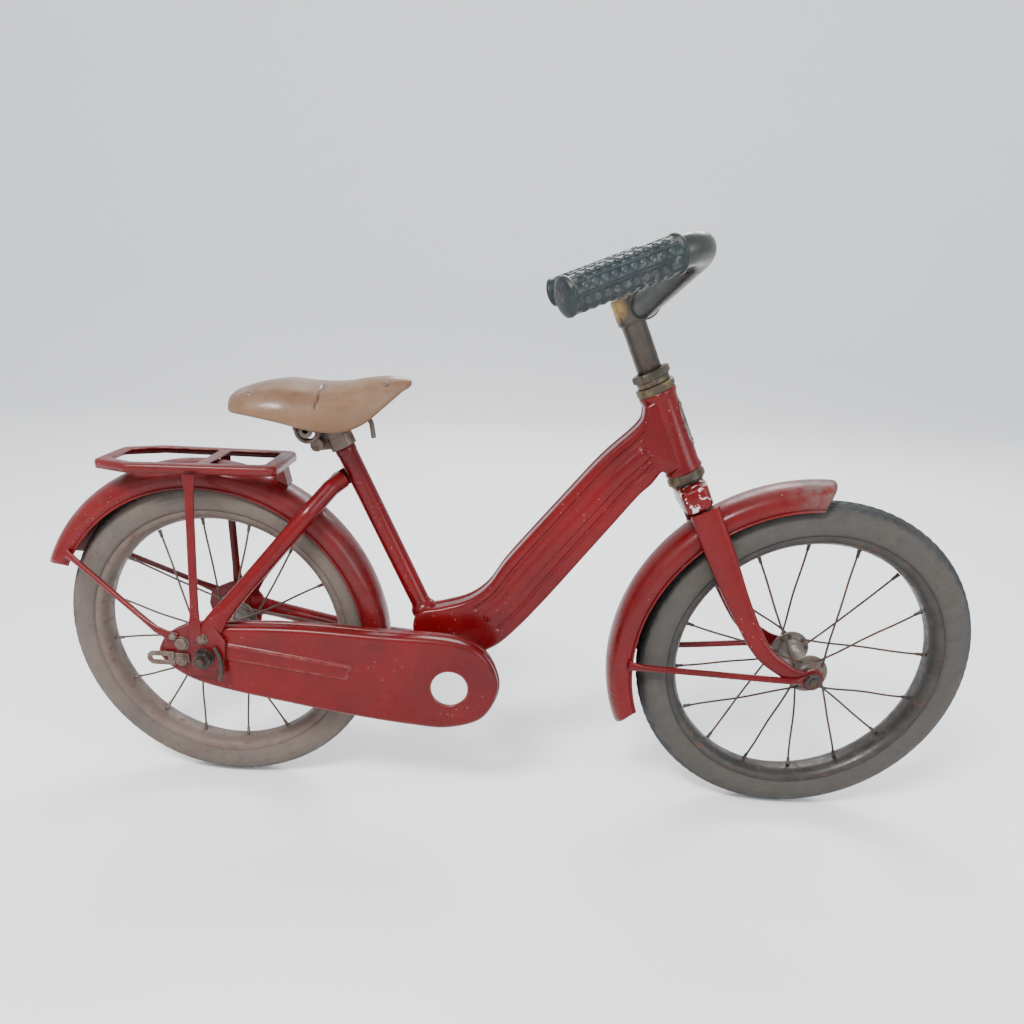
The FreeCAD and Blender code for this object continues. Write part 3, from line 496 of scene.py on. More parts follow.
def guard_red():
    """The front mudguard: its bare tip has lost the red."""
    paint, colour, rough = red_enamel("guard_paint", 0.30, 0.04)
    worn = paint.calc("MULTIPLY", paint.near((262, 0, 317), 16, 44),
                      paint.span(paint.noise(55, 5, 0.7), 0.36, 0.52))
    colour = paint.mix(worn, colour, (0.095, 0.062, 0.055))
    rough = paint.calc("ADD", rough, paint.calc("MULTIPLY", worn, 0.3))
    return paint.done(colour, rough, coat=0.08, shine=0.17)


def metal(name, base, rust_amount, metallic=0.75, low=0.28, high=0.6, dust=0.0, glint=None,
          glint_place=None):
    """Worn plated steel with rust in patches and pits."""
    paint = Paint(name, 0.45, metallic)
    tone = paint.span(paint.noise(45, 5), 0.3, 0.7)
    darker = tuple(0.55 * c for c in base)
    colour = paint.mix(tone, darker, base)
    if glint:
        amount = paint.span(paint.noise(65, 3), 0.5, 0.6)
        if glint_place:
            amount = paint.near(glint_place, 4, 11)
        colour = paint.mix(amount, colour, glint)
    rust = paint.span(paint.noise(110, 6, 0.72), 0.66 - rust_amount, 0.78 - rust_amount)
    colour = paint.mix(rust, colour, RUST)
    pits = paint.specks(420, 0.08, 0.2)
    colour = paint.mix(paint.calc("MULTIPLY", pits, 0.5), colour, (0.03, 0.022, 0.018))
    if dust:
        film = paint.span(paint.noise(30, 6, 0.7), 0.3, 0.7, dust * 0.3, dust)
        colour = paint.mix(film, colour, DUST)
    shine = paint.calc("SUBTRACT", metallic, paint.calc("MULTIPLY", rust, metallic * 0.85))
    shine = paint.calc("SUBTRACT", shine, dust * 0.6)
    rough = paint.calc("ADD", paint.span(paint.noise(130, 4), 0.3, 0.7, low, high),
                       paint.calc("MULTIPLY", rust, 0.3))
    paint.bump(paint.calc("ADD", rust, paint.noise(240, 4)), 0.3, 0.35)
    return paint.done(colour, rough, shine)


def rubber(name, tread, wall, dust):
    """Weathered tyre: dark tread, paler cracked sidewalls, dust."""
    paint = Paint(name, 0.85)
    sideways = paint.calc("ABSOLUTE", paint.axis("Y"), 0.0)
    edge = paint.calc("ADD", sideways, paint.span(paint.noise(60, 5), 0.3, 0.7, -0.0022, 0.0022))
    colour = paint.mix(paint.span(edge, 0.0118, 0.0150), tread, wall)
    grime = paint.span(paint.noise(20, 6, 0.7), 0.42, 0.7, 0.0, 0.55)
    colour = paint.mix(grime, colour, (0.035, 0.037, 0.036))
    colour = paint.mix(paint.span(paint.noise(34, 7, 0.75), 0.35, 0.75, 0.0, dust), colour, DUST)
    cracks = paint.span(paint.noise(190, 6, 0.7, (1, 3, 1)), 0.60, 0.68)
    colour = paint.mix(paint.calc("MULTIPLY", cracks, 0.55), colour, (0.022, 0.022, 0.021))
    paint.bump(paint.calc("SUBTRACT", paint.noise(260, 5), cracks), 0.4, 0.4)
    return paint.done(colour, paint.span(paint.noise(90, 4), 0.3, 0.7, 0.62, 0.92))


def grip_plastic(name, base, pale):
    """Hard moulded plastic with an uneven tone and pale grime in patches."""
    paint = Paint(name, 0.4)
    colour = paint.mix(paint.span(paint.noise(38, 4), 0.35, 0.7), base, pale)
    grime = paint.span(paint.noise(120, 6, 0.7), 0.56, 0.72, 0.0, 0.5)
    colour = paint.mix(grime, colour, (0.20, 0.17, 0.14))
    paint.bump(paint.noise(330, 4), 0.18, 0.3)
    return paint.done(colour, paint.span(paint.noise(80, 4), 0.3, 0.7, 0.26, 0.55))


def saddle_plastic():
    """Tan moulded shell: painted shade on the sides that turn down, streaks, stains and a crack."""
    paint = Paint("saddle_shell_plastic", 0.4)
    tone = paint.span(paint.noise(22, 4), 0.35, 0.68)
    colour = paint.mix(tone, (0.115, 0.058, 0.029), (0.175, 0.098, 0.055))
    streak = paint.span(paint.noise(46, 5, 0.6, (0.35, 1.0, 2.2)), 0.5, 0.72, 0.0, 0.55)
    colour = paint.mix(streak, colour, (0.080, 0.040, 0.021))
    soil = paint.span(paint.noise(85, 7, 0.75), 0.55, 0.72, 0.0, 0.6)
    colour = paint.mix(soil, colour, (0.085, 0.042, 0.022))
    # Painted shade: the sides and underside, where the surface turns down, are darkened.
    rim = paint.calc("MULTIPLY", paint.span(paint.axis("Z", "Normal"), 0.45, -0.2),
                     paint.span(paint.noise(52, 5), 0.4, 0.7, 0.1, 0.75))
    colour = paint.mix(rim, colour, (0.10, 0.045, 0.02))
    colour = paint.mix(paint.marked(), colour, (0.02, 0.010, 0.006))
    dots = paint.specks(520, 0.05, 0.10)
    colour = paint.mix(paint.calc("MULTIPLY", dots, 0.5), colour, (0.14, 0.08, 0.05))
    paint.bump(paint.calc("SUBTRACT", paint.noise(210, 5), soil), 0.2, 0.4)
    paint.shader.inputs["Subsurface Weight"].default_value = 0.06
    paint.shader.inputs["Subsurface Radius"].default_value = (0.004, 0.002, 0.001)
    return paint.done(colour, paint.span(paint.noise(60, 5), 0.3, 0.7, 0.26, 0.52), coat=0.1)


# Enamels: how dusty (on the rear copies also a painted wash of light), how chipped. Metals: colour, rust,
# metallic, then lowest and highest roughness.
FRAME_RED = plain_red("frame_enamel", 0.10, 0.015)
# Painted light: the rear enamel's higher dust amount also paints a pale wash of light over the rear half.
REAR_RED = plain_red("rear_enamel", 0.45, 0.035)
CASE_RED = plain_red("case_enamel", 0.16, 0.005)
GUARD_RED = guard_red()
CROWN_RED = crown_red()
FRONT_RUBBER = rubber("front_rubber", (0.015, 0.019, 0.020), (0.046, 0.042, 0.036), 0.16)
# Painted light: the rear tyre's paler, browner colours and extra dust also carry a pale wash of light over
# the rear half.
REAR_RUBBER = rubber("rear_rubber", (0.045, 0.039, 0.034), (0.105, 0.084, 0.070), 0.5)
FRONT_RIM = metal("front_rim_steel", (0.045, 0.046, 0.043), 0.10, 0.7, dust=0.15)
# Painted light: the rear rim's paler, browner colour and heavy dust also carry a pale wash of light over
# the rear half.
REAR_RIM = metal("rear_rim_steel", (0.150, 0.122, 0.103), 0.10, 0.5, 0.4, 0.7, dust=0.7)
WIRE = metal("spoke_wire", (0.050, 0.044, 0.040), 0.20, 0.6, 0.35, 0.6)
# Painted light: the rear spokes' paler, browner colour and dust also carry a pale wash of light over the
# rear half.
REAR_WIRE = metal("rear_spoke_wire", (0.090, 0.073, 0.060), 0.16, 0.5, 0.4, 0.7, dust=0.3)
HUB_STEEL = metal("hub_steel", (0.125, 0.112, 0.098), 0.14, 0.7, dust=0.2)
OILY_STEEL = metal("oily_steel", (0.060, 0.050, 0.045), 0.14, 0.7)
BRASS_STEEL = metal("worn_headset", (0.065, 0.056, 0.044), 0.13, 0.8, glint=(0.13, 0.10, 0.055))
STEM_STEEL = metal("stem_steel", (0.066, 0.056, 0.049), 0.11, 0.8, 0.22, 0.5, glint=(0.24, 0.155, 0.06),
                   glint_place=tuple(on_head(-10, -7, 142)))
BAR_CHROME = metal("bar_plating", (0.058, 0.071, 0.064), 0.05, 0.9, 0.25, 0.45, dust=0.15)
RUSTY = metal("rusty_steel", (0.165, 0.128, 0.106), 0.15, 0.65, 0.4, 0.7)
GRIP_DARK = grip_plastic("grip_body", (0.006, 0.010, 0.011), (0.014, 0.022, 0.023))
GRIP_DOTS = grip_plastic("grip_domes", (0.014, 0.019, 0.021), (0.032, 0.041, 0.043))
TAN = saddle_plastic()
BADGE = metal("badge_plate", (0.20, 0.19, 0.18), 0.20, 0.4, dust=0.2)


# ---------------------------------------------------------------- wheels

SPOKES = 16
RIM_SEAT = 113.0


def ring_points(hub, section, angle):
    """Points of a (y, r) section at one angle round a hub."""
    return [(hub[0] + r * math.cos(angle), y, hub[1] + r * math.sin(angle)) for y, r in section]


def build_tyre(name, hub, body, material):
    """Carcass with moulded sidewall lines and a shallow block tread."""
    middle, half, wall = 131.0, 19.0, 4.0
    first_angle, sweep = -22, 224
    count = 384
    steps = 58
    outer = []
    for k in range(steps + 1):
        angle = first_angle + sweep * k / steps
        line = 0.35 if abs(angle - 12) < 3 or abs(angle - 168) < 3 else 0.0
        swell = half - 0.35 + line
        angle = math.radians(angle)
        outer.append((swell * math.cos(angle), middle + swell * math.sin(angle)))
    inner = []
    for k in range(13):
        angle = math.radians(first_angle + sweep - sweep * k / 12)
        inner.append(((half - wall) * math.cos(angle), middle + (half - wall) * math.sin(angle)))
    section = outer + [(-13.4, 121.6), (-10.9, 118.4)] + inner + [(10.9, 118.4), (13.4, 121.6)]

    def carve(index, j):
        """Depth of the tread at section point j of ring index."""
        across = abs(first_angle + sweep * j / steps - 90)
        if j > steps or across > 44:
            return 0.0
        band = int(across // 11)
        grooved = across % 11 < 3.9 or (index + band * 2) % 4 == 0
        return 0.75 if grooved else 0.0

    mesh = Mesh()
    loops = []
    for index in range(count):
        carved = [(y, r - carve(index, j)) for j, (y, r) in enumerate(section)]
        loops.append(mesh.loop(ring_points(hub, carved, math.tau * index / count)))
    mesh.skin(loops + [loops[0]])
    mesh.piece(name + "_tyre_rubber", body, [material], [name + "_tyre"], sharp=60)


def build_rim(name, hub, body, material):
    """Rolled rim: beaded lips, sloping walls and a raised nipple band."""
    half = [(15.6, 120.0), (13.6, 116.4), (9.6, 114.6), (7.0, 113.2), (3.0, 113.0), (0.0, 113.0)]
    lip = []
    for k in range(9):
        angle = math.radians(-20 + 220 * k / 8)
        lip.append((14.75 + 1.05 * math.cos(angle), 122.2 + 0.8 * math.sin(angle)))
    inside = [(13.7, 121.0), (11.4, 117.8), (6.2, 115.0), (0.0, 114.8)]
    right = half[::-1] + lip + inside
    section = right + [(-y, r) for y, r in reversed(right[1:-1])]
    mesh = Mesh()
    count = 160
    loops = [mesh.loop(ring_points(hub, section, math.tau * k / count)) for k in range(count)]
    mesh.skin(loops + [loops[0]])
    mesh.piece(name + "_rim_steel", body, [material], [name + "_rim"], sharp=50)


def build_spokes(name, hub, body, hook_radius, materials, seed):
    """Slightly bent wires with hooked heads and turned nipples."""
    random.seed(seed)
    mesh = Mesh()
    for index in range(SPOKES):
        angle = math.radians(6.0 + 360 / SPOKES * index)
        side = -1 if index % 2 else 1
        lean = math.radians(38.0 if index % 4 < 2 else -38.0)
        rim_point = Vector((hub[0] + RIM_SEAT * math.cos(angle), 0.0, hub[1] + RIM_SEAT * math.sin(angle)))
        hook = Vector((hub[0] + hook_radius * math.cos(angle + lean), side * 29.0,
                       hub[1] + hook_radius * math.sin(angle + lean)))
        along = (rim_point - hook).normalized()
        sideways = along.cross(ACROSS).normalized()
        sag = random.uniform(-1.3, 1.3)
        kink = random.uniform(-0.8, 0.8)
        path = [hook + Vector((0, -side * 2.6, 0)), hook + Vector((0, side * 1.2, 0)),
                hook + Vector((0, side * 2.0, 0)) + along * 1.5]
        for k in range(1, 12):
            t = k / 12
            bow = sideways * (sag * math.sin(math.pi * t) + kink * math.sin(3 * math.pi * t))
            path.append(hook.lerp(rim_point, t) + bow * (1 - t) ** 0.3
                        + Vector((0, side * 2.0 * (1 - t), 0)))
        path.append(rim_point - along * 6.0)
        mesh.swept(path, (1.0, 1.0), count=10, facing=Vector((0.31, 0, 0.95)))
        head = hook + Vector((0, -side * 2.6, 0))
        mesh.turned([(-0.8, 0.05), (-0.6, 1.4), (0.0, 1.8), (0.5, 1.7), (0.5, 0.05)], head,
                    (0, -side, 0), count=12)
        nipple = [(0.9, 0.4), (1.0, 2.0), (2.4, 2.0), (2.8, 1.6), (7.4, 1.55), (8.0, 1.3), (8.0, 0.4)]
        mesh.turned(nipple, rim_point, -along, count=12, slot=1)
    mesh.piece(name + "_spoke_set", body, materials, [name + "_spokes"], sharp=45)


def build_hub(name, hub, body, barrel, flange, reach, bore, material):
    """Turned shell with two spoke flanges, stepped shoulders and dust caps."""
    right = [(0.0, barrel), (13.0, barrel), (17.0, barrel + 1.0), (20.0, barrel + 3.2),
             (26.5, (barrel + flange) / 2 - 1), (27.8, flange - 2.2), (27.8, flange - 0.6),
             (28.3, flange), (29.7, flange), (30.2, flange - 0.6), (30.2, barrel + 1.2),
             (31.2, barrel - 0.4), (reach - 0.4, barrel - 1.0), (reach, barrel - 1.8),
             (reach, bore + 2.2), (reach - 1.0, bore + 1.6), (reach - 1.0, bore)]
    outside = [(-y, r) for y, r in reversed(right[1:])] + right
    mesh = Mesh()
    mesh.turned(outside, (hub[0], 0, hub[1]), ACROSS, count=64)
    for side in (-1, 1):
        for k in range(8):
            angle = math.tau * k / 8 + 0.2 * side
            spot = ring_points(hub, [(side * 30.15, flange - 3.5)], angle)[0]
            mesh.turned(drum(0.0, 0.5, 1.7, 0.2, 0.9), spot, (0, side, 0), count=14)
    mesh.piece(name + "_hub_shell", body, [material], [name + "_hub"])


def build_wheels():
    build_tyre("front", FRONT_HUB, "front_wheel", FRONT_RUBBER)
    build_tyre("rear", REAR_HUB, "rear_wheel", REAR_RUBBER)
    build_rim("front", FRONT_HUB, "front_wheel", FRONT_RIM)
    build_rim("rear", REAR_HUB, "rear_wheel", REAR_RIM)
    build_spokes("front", FRONT_HUB, "front_wheel", 14.0, [WIRE, OILY_STEEL], 4)
    build_spokes("rear", REAR_HUB, "rear_wheel", 19.0, [REAR_WIRE, RUSTY], 9)
    build_hub("front", FRONT_HUB, "front_wheel", 8.5, 17.5, 33.0, 4.1, HUB_STEEL)
    build_hub("rear", REAR_HUB, "rear_wheel", 16.0, 22.5, 31.0, 5.1, HUB_STEEL)


build_wheels()


# ---------------------------------------------------------------- mudguards

def build_guard(name, centre, radius, span, body, material):
    """Rolled mudguard: crowned sheet with beaded edges and rounded ends."""
    half, skirt, bead = 22.3, 22.0, 1.1
    section = [(half, radius - skirt)]
    for k in range(25):
        angle = math.radians(7.5 * k)
        section.append((half * math.cos(angle), radius - 15.2 + 15 * abs(math.sin(angle)) ** 0.8))
    section.append((-half, radius - skirt))
    mesh = Mesh()
    count = 96
    low, high = span
    rows = []
    edges = ([], [])
    for k in range(count + 1):
        t = k / count
        points = []
        for index, (y, r) in enumerate(section):
            outward = min(1.0, math.hypot(y / half, (radius - r) / skirt) / 1.35)
            trim = 3.4 * outward ** 3
            angle = math.radians(low + trim + (high - low - 2 * trim) * t)
            points.append((centre[0] + r * math.cos(angle), y, centre[1] + r * math.sin(angle)))
            if index in (0, len(section) - 1):
                edges[0 if index == 0 else 1].append(points[-1])
        rows.append(mesh.loop(points))
    mesh.skin(rows, closed=False)
    node = name + "_mudguard"
    mesh.piece(node + "_sheet", body, [material], [node], sheet=1.2)
    beads = Mesh()
    for line in edges:
        inward = -0.35 if line[0][1] > 0 else 0.35
        path = [Vector(p) + Vector((0, inward, 0)) for p in line]
        beads.swept(path, (bead, bead), count=10)
    beads.piece(node + "_beads", body, [material], [node])


def build_guards():
    build_guard("front", (264.5, 147.0), 169.9, (88.0, 203.0), "fork", GUARD_RED)
    build_guard("rear", (-280.0, 146.0), 169.4, (4.0, 154.5), "frame", REAR_RED)

    stays = Mesh()
    for side in (-1, 1):
        path = smooth_path([(114, side * 24.1, 146.0), (130, side * 27.3, 146.1), (190, side * 36, 147.2),
                            (246, side * 45.2, 148.6), (258, side * 46.0, 149.2),
                            (266, side * 46.0, 149.7)], 6)
        sizes = [(3.0, 3.0)] * len(path)
        for k in range(7):
            t = k / 6
            sizes[k] = (5.6 - 2.6 * t, 0.9 + 2.1 * t)
            sizes[-1 - k] = (5.0 - 2.0 * t, 0.8 + 2.2 * t)
        stays.swept(path, sizes, count=20)
        eye = drum(0.0, 1.6, 8.0, 0.4, 4.05)
        stays.turned(eye, (FRONT_HUB[0], side * 45.1, FRONT_HUB[1]), (0, side, 0), count=40)
        stays.turned([(0.0, 0.05), (0.0, 3.1), (0.7, 3.0), (1.5, 2.1), (1.8, 0.05)],
                     (118, side * 25.3, 146), (0, side, 0), count=18)
    stays.piece("front_guard_stay_pair", "fork", [FRAME_RED], ["front_stays"])

    rear = Mesh()
    for side in (-1, 1):
        path = divided([(-406.5, side * 25.4, 229.5), (-400, side * 27.0, 226.3),
                        (-314, side * 63.2, 175.5), (-304, side * 64.2, 171.0),
                        (-295, side * 64.3, 168.4)], 14)
        sizes = []
        for point in path:
            flat = max(0.0, min(1.0, (point.x + 322) / 18))
            tip = max(0.0, min(1.0, (-396 - point.x) / 9))
            sizes.append((2.8 + 1.7 * max(flat, tip), 2.8 - 1.8 * max(flat, tip)))
        rear.swept(path, sizes, count=20)
        rear.turned([(0.0, 0.05), (0.0, 3.4), (0.9, 3.2), (1.8, 2.2), (2.1, 0.05)],
                    (-299, side * 65.2, 169.6), (0, side, 0), count=18, slot=1)
    rear.piece("rear_guard_stay_pair", "frame", [REAR_RED, RUSTY], ["rear_guard_stays"])


# ---------------------------------------------------------------- fork and steering

def superellipse(half_a, half_b, power, count=40):
    out = []
    for k in range(count):
        angle = math.tau * k / count
        c, s = math.cos(angle), math.sin(angle)
        out.append((math.copysign(abs(c) ** power, c) * half_a, math.copysign(abs(s) ** power, s) * half_b))
    return out


def build_fork():
    crown = Mesh()
    levels = [(-29.0, 1.8), (-28.4, 0.7), (-27.2, 0.0), (-11.6, 0.0), (-10.6, 0.6), (-10.05, 1.9)]
    crown.lofted([[on_head(x, y, along) for x, y in superellipse(12.5 - trim, 35 - trim, 0.36, 56)]
                  for along, trim in levels])
    crown.piece("fork_crown_casting", "fork", [CROWN_RED], ["fork_crown"])

    stations = [(160, 293, 12.3, 5.4, 29.5), (170, 273, 12.2, 5.4, 29.8), (184, 246, 11.6, 5.1, 31),
                (204, 208, 9.4, 4.6, 34), (226, 173.5, 7.8, 3.9, 38), (248, 157, 6.8, 2.7, 41.5),
                (261, 151.6, 6.6, 2.0, 43), (268, 150.3, 6.4, 1.9, 43)]
    for name, side in (("right", -1), ("left", 1)):
        blade = Mesh()
        line = smooth_path(stations, 7)
        path = [(x, side * y, z) for x, z, wide, deep, y in line]
        blade.swept(path, [(wide, deep) for x, z, wide, deep, y in line], count=28, power=0.72)
        centre = (FRONT_HUB[0], side * 43, FRONT_HUB[1])
        blade.turned(drum(-2.0, 2.0, 10.0, 0.5, 4.05), centre, ACROSS, count=44)
        blade.piece("fork_blade_tube_" + name, "fork", [FRAME_RED], ["fork_blade_" + name],
                    sharp=50)


def build_headset():
    """Races, cups, locknut and steerer, each a ring or tube on the steering axis."""
    lower_cup = [(-8.0, 12.0), (-8.0, 15.2), (-7.4, 16.0), (-3.4, 16.0), (-2.2, 15.2), (-0.6, 15.0),
                 (0.0, 14.7), (0.0, 12.0)]
    upper_cup = [(70.0, 12.0), (70.0, 14.8), (71.0, 15.2), (72.2, 16.0), (76.2, 16.0), (76.8, 15.4),
                 (76.8, 12.0)]
    rings = [("lower_race", "fork", drum(-10.0, -8.2, 14.0, 0.5, 11.05)),
             ("upper_cone", "fork", drum(77.0, 82.0, 13.5, 0.9, 11.05)),
             ("lower_cup", "frame", lower_cup), ("upper_cup", "frame", upper_cup)]
    foot = on_head(0, 0, 0)
    for name, body, profile in rings:
        spun_piece(name + "_ring", body, BRASS_STEEL, name, profile, foot, HEAD_AXIS, 56)
    locknut = [(82.0, 11.05), (82.0, 14.4), (82.9, 15.7), (87.1, 15.7), (88.0, 14.4), (88.0, 11.05)]
    spun_piece("headset_nut", "fork", BRASS_STEEL, "headset_locknut", locknut, foot,
               HEAD_AXIS, 72, across=27.0, sharp=30)
    steerer = [(-28.6, 10.1), (-28.6, 10.9), (87.6, 10.9), (88.0, 10.6), (88.0, 10.1)]
    spun_piece("steerer_tube", "fork", OILY_STEEL, "steerer", steerer, foot, HEAD_AXIS, 48)


def build_front_axle():
    x, z = FRONT_HUB
    axle = Mesh()
    axle.turned(drum(-51.0, 51.0, 3.85, 0.6), (x, 0, z), ACROSS, count=28)
    for side in (-1, 1):
        for k in range(4):
            centre = (x, side * (48.2 + 0.9 * k), z)
            axle.turned(drum(-0.25, 0.25, 4.0, 0.15, 3.6), centre, ACROSS, count=28)
    axle.piece("front_axle_rod", "fork", [OILY_STEEL], ["front_axle"])
    cones = Mesh()
    nuts = Mesh()
    for side in (-1, 1):
        cones.turned([(34.0, 4.05), (34.0, 6.0), (35.4, 7.4), (38.0, 7.5), (40.4, 7.5), (41.0, 7.0),
                      (41.0, 4.05)], (x, 0, z), (0, side, 0), count=40)
        nuts.turned(drum(46.75, 47.75, 7.5, 0.25, 4.05), (x, 0, z), (0, side, 0), count=40)
        nuts.turned([(47.8, 4.05), (47.8, 6.6), (48.2, 7.5), (49.2, 7.5), (50.0, 6.5), (50.0, 4.05)],
                    (x, 0, z), (0, side, 0), count=60, across=13.0)
    cones.piece("front_cone_pair", "fork", [OILY_STEEL], ["front_cones"])
    nuts.piece("front_nut_set", "fork", [OILY_STEEL], ["front_nuts"], sharp=30)


build_guards()
build_fork()
build_headset()
build_front_axle()


# ---------------------------------------------------------------- handlebar

BAR_HALF = [(27.0, 150.0, 454.0), (125.0, 100.0, 490.5), (93.0, 14.0, 448.0)]
BAR_RADIUS = 10.4


def build_grip(name, side):
    """Moulded grip: eight raised lines with a row of domes between each pair, and two collars."""
    end = Vector(BAR_HALF[0])
    corner = Vector(BAR_HALF[1])
    end.y *= side
    corner.y *= side
    axis = (corner - end).normalized()
    across = axis.cross(Vector((0, 0, 1))).normalized()
    upward = across.cross(axis)
    start = end - axis * 3.0
    length = 90.0
    count = 128
    mesh = Mesh()
    levels = [(0.0, 2.0), (0.0, 9.6), (0.5, 11.3), (1.4, 12.6), (3.2, 12.9), (4.2, 12.6), (4.8, 11.7)]
    body_levels = [5.4, 6.4, 8.0, 20.0, 40.0, 60.0, 78.0, length - 7.6, length - 6.2, length - 5.4]
    tail = [(length - 5.0, 11.8), (length - 4.4, 12.7), (length - 3.2, 13.1), (length - 2.0, 12.9),
            (length - 1.0, 12.2), (length - 1.0, BAR_RADIUS + 0.2), (length - 6.0, BAR_RADIUS + 0.1)]

    def ring(along, radius, ribs):
        points = []
        for k in range(count):
            angle = math.tau * k / count
            off = abs((math.degrees(angle) + 22.5) % 45 - 22.5)
            lift = ribs * (1.0 if off < 2.4 else max(0.0, 1 - (off - 2.4) / 1.5))
            reach = radius + 0.75 * lift
            points.append(start + axis * along + across * reach * math.cos(angle)
                          + upward * reach * math.sin(angle))
        return mesh.loop(points)

    loops = [ring(along, radius, 0.0) for along, radius in levels]
    loops += [ring(along, 11.65, 0.0 if k in (0, len(body_levels) - 1) else 1.0)
              for k, along in enumerate(body_levels)]
    loops += [ring(along, radius, 0.0) for along, radius in tail]
    mesh.closed_skin(loops)
    for row in range(8):
        angle = math.tau * (row + 0.5) / 8
        outward = across * math.cos(angle) + upward * math.sin(angle)
        for k in range(10):
            spot = start + axis * (12.0 + 7.25 * k) + outward * 11.5
            dome = [(0.0, 0.03), (0.0, 2.75), (0.35, 2.6), (0.8, 2.1), (1.1, 1.2), (1.2, 0.03)]
            mesh.turned(dome, spot, outward, count=16, slot=1)
    mesh.piece("grip_moulding_" + name, "handlebar", [GRIP_DARK, GRIP_DOTS], ["grip_" + name],
               sharp=55)


def build_handlebar():
    far = BAR_HALF
    near = [(x, -y, z) for x, y, z in reversed(far)]
    path = divided(bent_path(far + near, [26.0, 22.0, 22.0, 26.0], 12), 9.0)
    bar = Mesh()
    bar.swept(path, (BAR_RADIUS, BAR_RADIUS), count=36, facing=Vector((0, 0, 1)))
    bar.piece("handlebar_tube", "handlebar", [BAR_CHROME], ["handlebar"], sharp=60)
    build_grip("left", 1)
    build_grip("right", -1)

    stem = Mesh()
    stem.turned([(28.0, 4.1), (28.0, 9.4), (28.6, 9.9), (126.0, 9.9), (127.4, 10.4), (128.4, 11.4),
                 (129.4, 12.0), (147.2, 12.0), (148.5, 11.5), (149.0, 10.4), (149.0, 4.1)],
                on_head(0, 0, 0), HEAD_AXIS, count=48)
    centre = on_head(12.5, 0, 138.5)
    stem.turned([(-12.0, 9.6), (-12.0, 12.2), (-11.4, 12.9), (-10.0, 13.0), (-9.0, 12.6), (9.0, 12.6),
                 (10.0, 13.0), (11.4, 12.9), (12.0, 12.2), (12.0, 9.6)], centre, ACROSS, count=56)
    stem.piece("stem_casting", "handlebar", [STEM_STEEL], ["stem"], sharp=42)
    bolt = Mesh()
    bolt.turned([(149.0, 0.05), (149.0, 6.4), (149.6, 7.0), (152.6, 7.0), (153.6, 6.2), (154.0, 5.2),
                 (154.0, 0.05)], on_head(0, 0, 0), HEAD_AXIS, count=60, across=12.0)
    bolt.turned(drum(12.0, 149.0, 3.5, 0.4), on_head(0, 0, 0), HEAD_AXIS, count=24)
    bolt.piece("stem_bolt_hex", "handlebar", [RUSTY], ["stem_bolt"], sharp=30)


build_handlebar()


# ---------------------------------------------------------------- frame


def head_side(x, along):
    """Side-view point (x, z) given on the steering axis frame."""
    point = on_head(x, 0, along)
    return (point.x, point.z)


BEAM_SIDE = 14.0
BEAM_TOP_JOINT = [head_side(3, 66.5), head_side(-6, 66.2), head_side(-13.2, 64.5),
                  head_side(-16.0, 59.5)]
BEAM_TOP = [head_side(-19.6, 54.6), head_side(-30, 49.8), (72, 329.5), (45, 297), (18, 264), (-5, 235),
            (-20, 212), (-38, 198)]
BEAM_FOOT = [(-62, 190), (-84, 184), (-88, 164), (-70, 147), (-40, 142)]
BEAM_BOTTOM = [(-12, 153), (10, 174), (36, 206), (62, 240.5), (88, 275), (106, 299), (116, 309.5),
               head_side(-18.5, 8.6)]
BEAM_LOW_JOINT = [head_side(-14.6, 5.4), head_side(-7, 4.0), head_side(3, 3.8)]


def ribbon(line, half):
    """Closed outline round a centre line, with round ends."""
    line = [Vector(p) for p in line]
    left = []
    right = []
    for index, point in enumerate(line):
        along = (line[min(index + 1, len(line) - 1)] - line[max(index - 1, 0)]).normalized()
        normal = Vector((-along.y, along.x)) * half
        left.append(point + normal)
        right.append(point - normal)
    out = list(left)
    for points, centre in ((left, line[-1]), (right, line[0])):
        start = points[-1 if points is left else 0] - centre
        for k in range(1, 6):
            angle = -math.pi * k / 6
            out.append(centre + Vector((start.x * math.cos(angle) - start.y * math.sin(angle),
                                        start.x * math.sin(angle) + start.y * math.cos(angle))))
        if points is left:
            out += right[::-1]
    return [tuple(p) for p in out]


def beam_line(share, start, end, steps=6):
    """Line that follows the beam, share of the way from its top edge to its bottom edge."""
    bottom = BEAM_BOTTOM[::-1]
    mixed = [tuple(t + (b - t) * share for t, b in zip(top, low)) for top, low in zip(BEAM_TOP, bottom)]
    line = smooth_path(mixed, steps)
    last = len(line) - 1
    return line[round(start * last):round(end * last) + 1]


def build_beam():
    outline = smooth_path(BEAM_TOP_JOINT + BEAM_TOP + BEAM_FOOT + BEAM_BOTTOM + BEAM_LOW_JOINT, 5)
    rings = [(outline, 0.0), (outline, 9.9), (inset(outline, 0.35), 11.6), (inset(outline, 1.2), 12.9),
             (inset(outline, 2.4), 13.7), (inset(outline, 4.0), BEAM_SIDE)]
    features = []
    # Each swage: share of the way down the beam, where it starts and ends, half width, height.
    for share, start, end, half, height in ((0.20, 0.02, 0.97, 2.6, -1.4), (0.46, 0.13, 0.93, 6.0, 1.3),
                                            (0.74, 0.07, 0.93, 2.2, -1.2)):
        line = beam_line(share, start, end)
        edge = min(half, 2.4)
        loops = [(ribbon(line, half - inward * edge), BEAM_SIDE + height * raised)
                 for inward, raised in ((0, 0), (0.25, 0.35), (0.5, 0.8), (0.8, 1))]
        features.append((loops, True, 0.04))
    for name, side in (("right", -1), ("left", 1)):
        mesh = Mesh()
        mesh.pressed(rings, features, lambda u, v, level, side=side: (u, side * level, v))
        mesh.open_up(on_head(0, 0, 0), HEAD_AXIS, 12.7)
        mesh.piece("beam_pressing_" + name, "frame", [FRAME_RED], ["beam_" + name],
                   sheet=1.6, sharp=34)


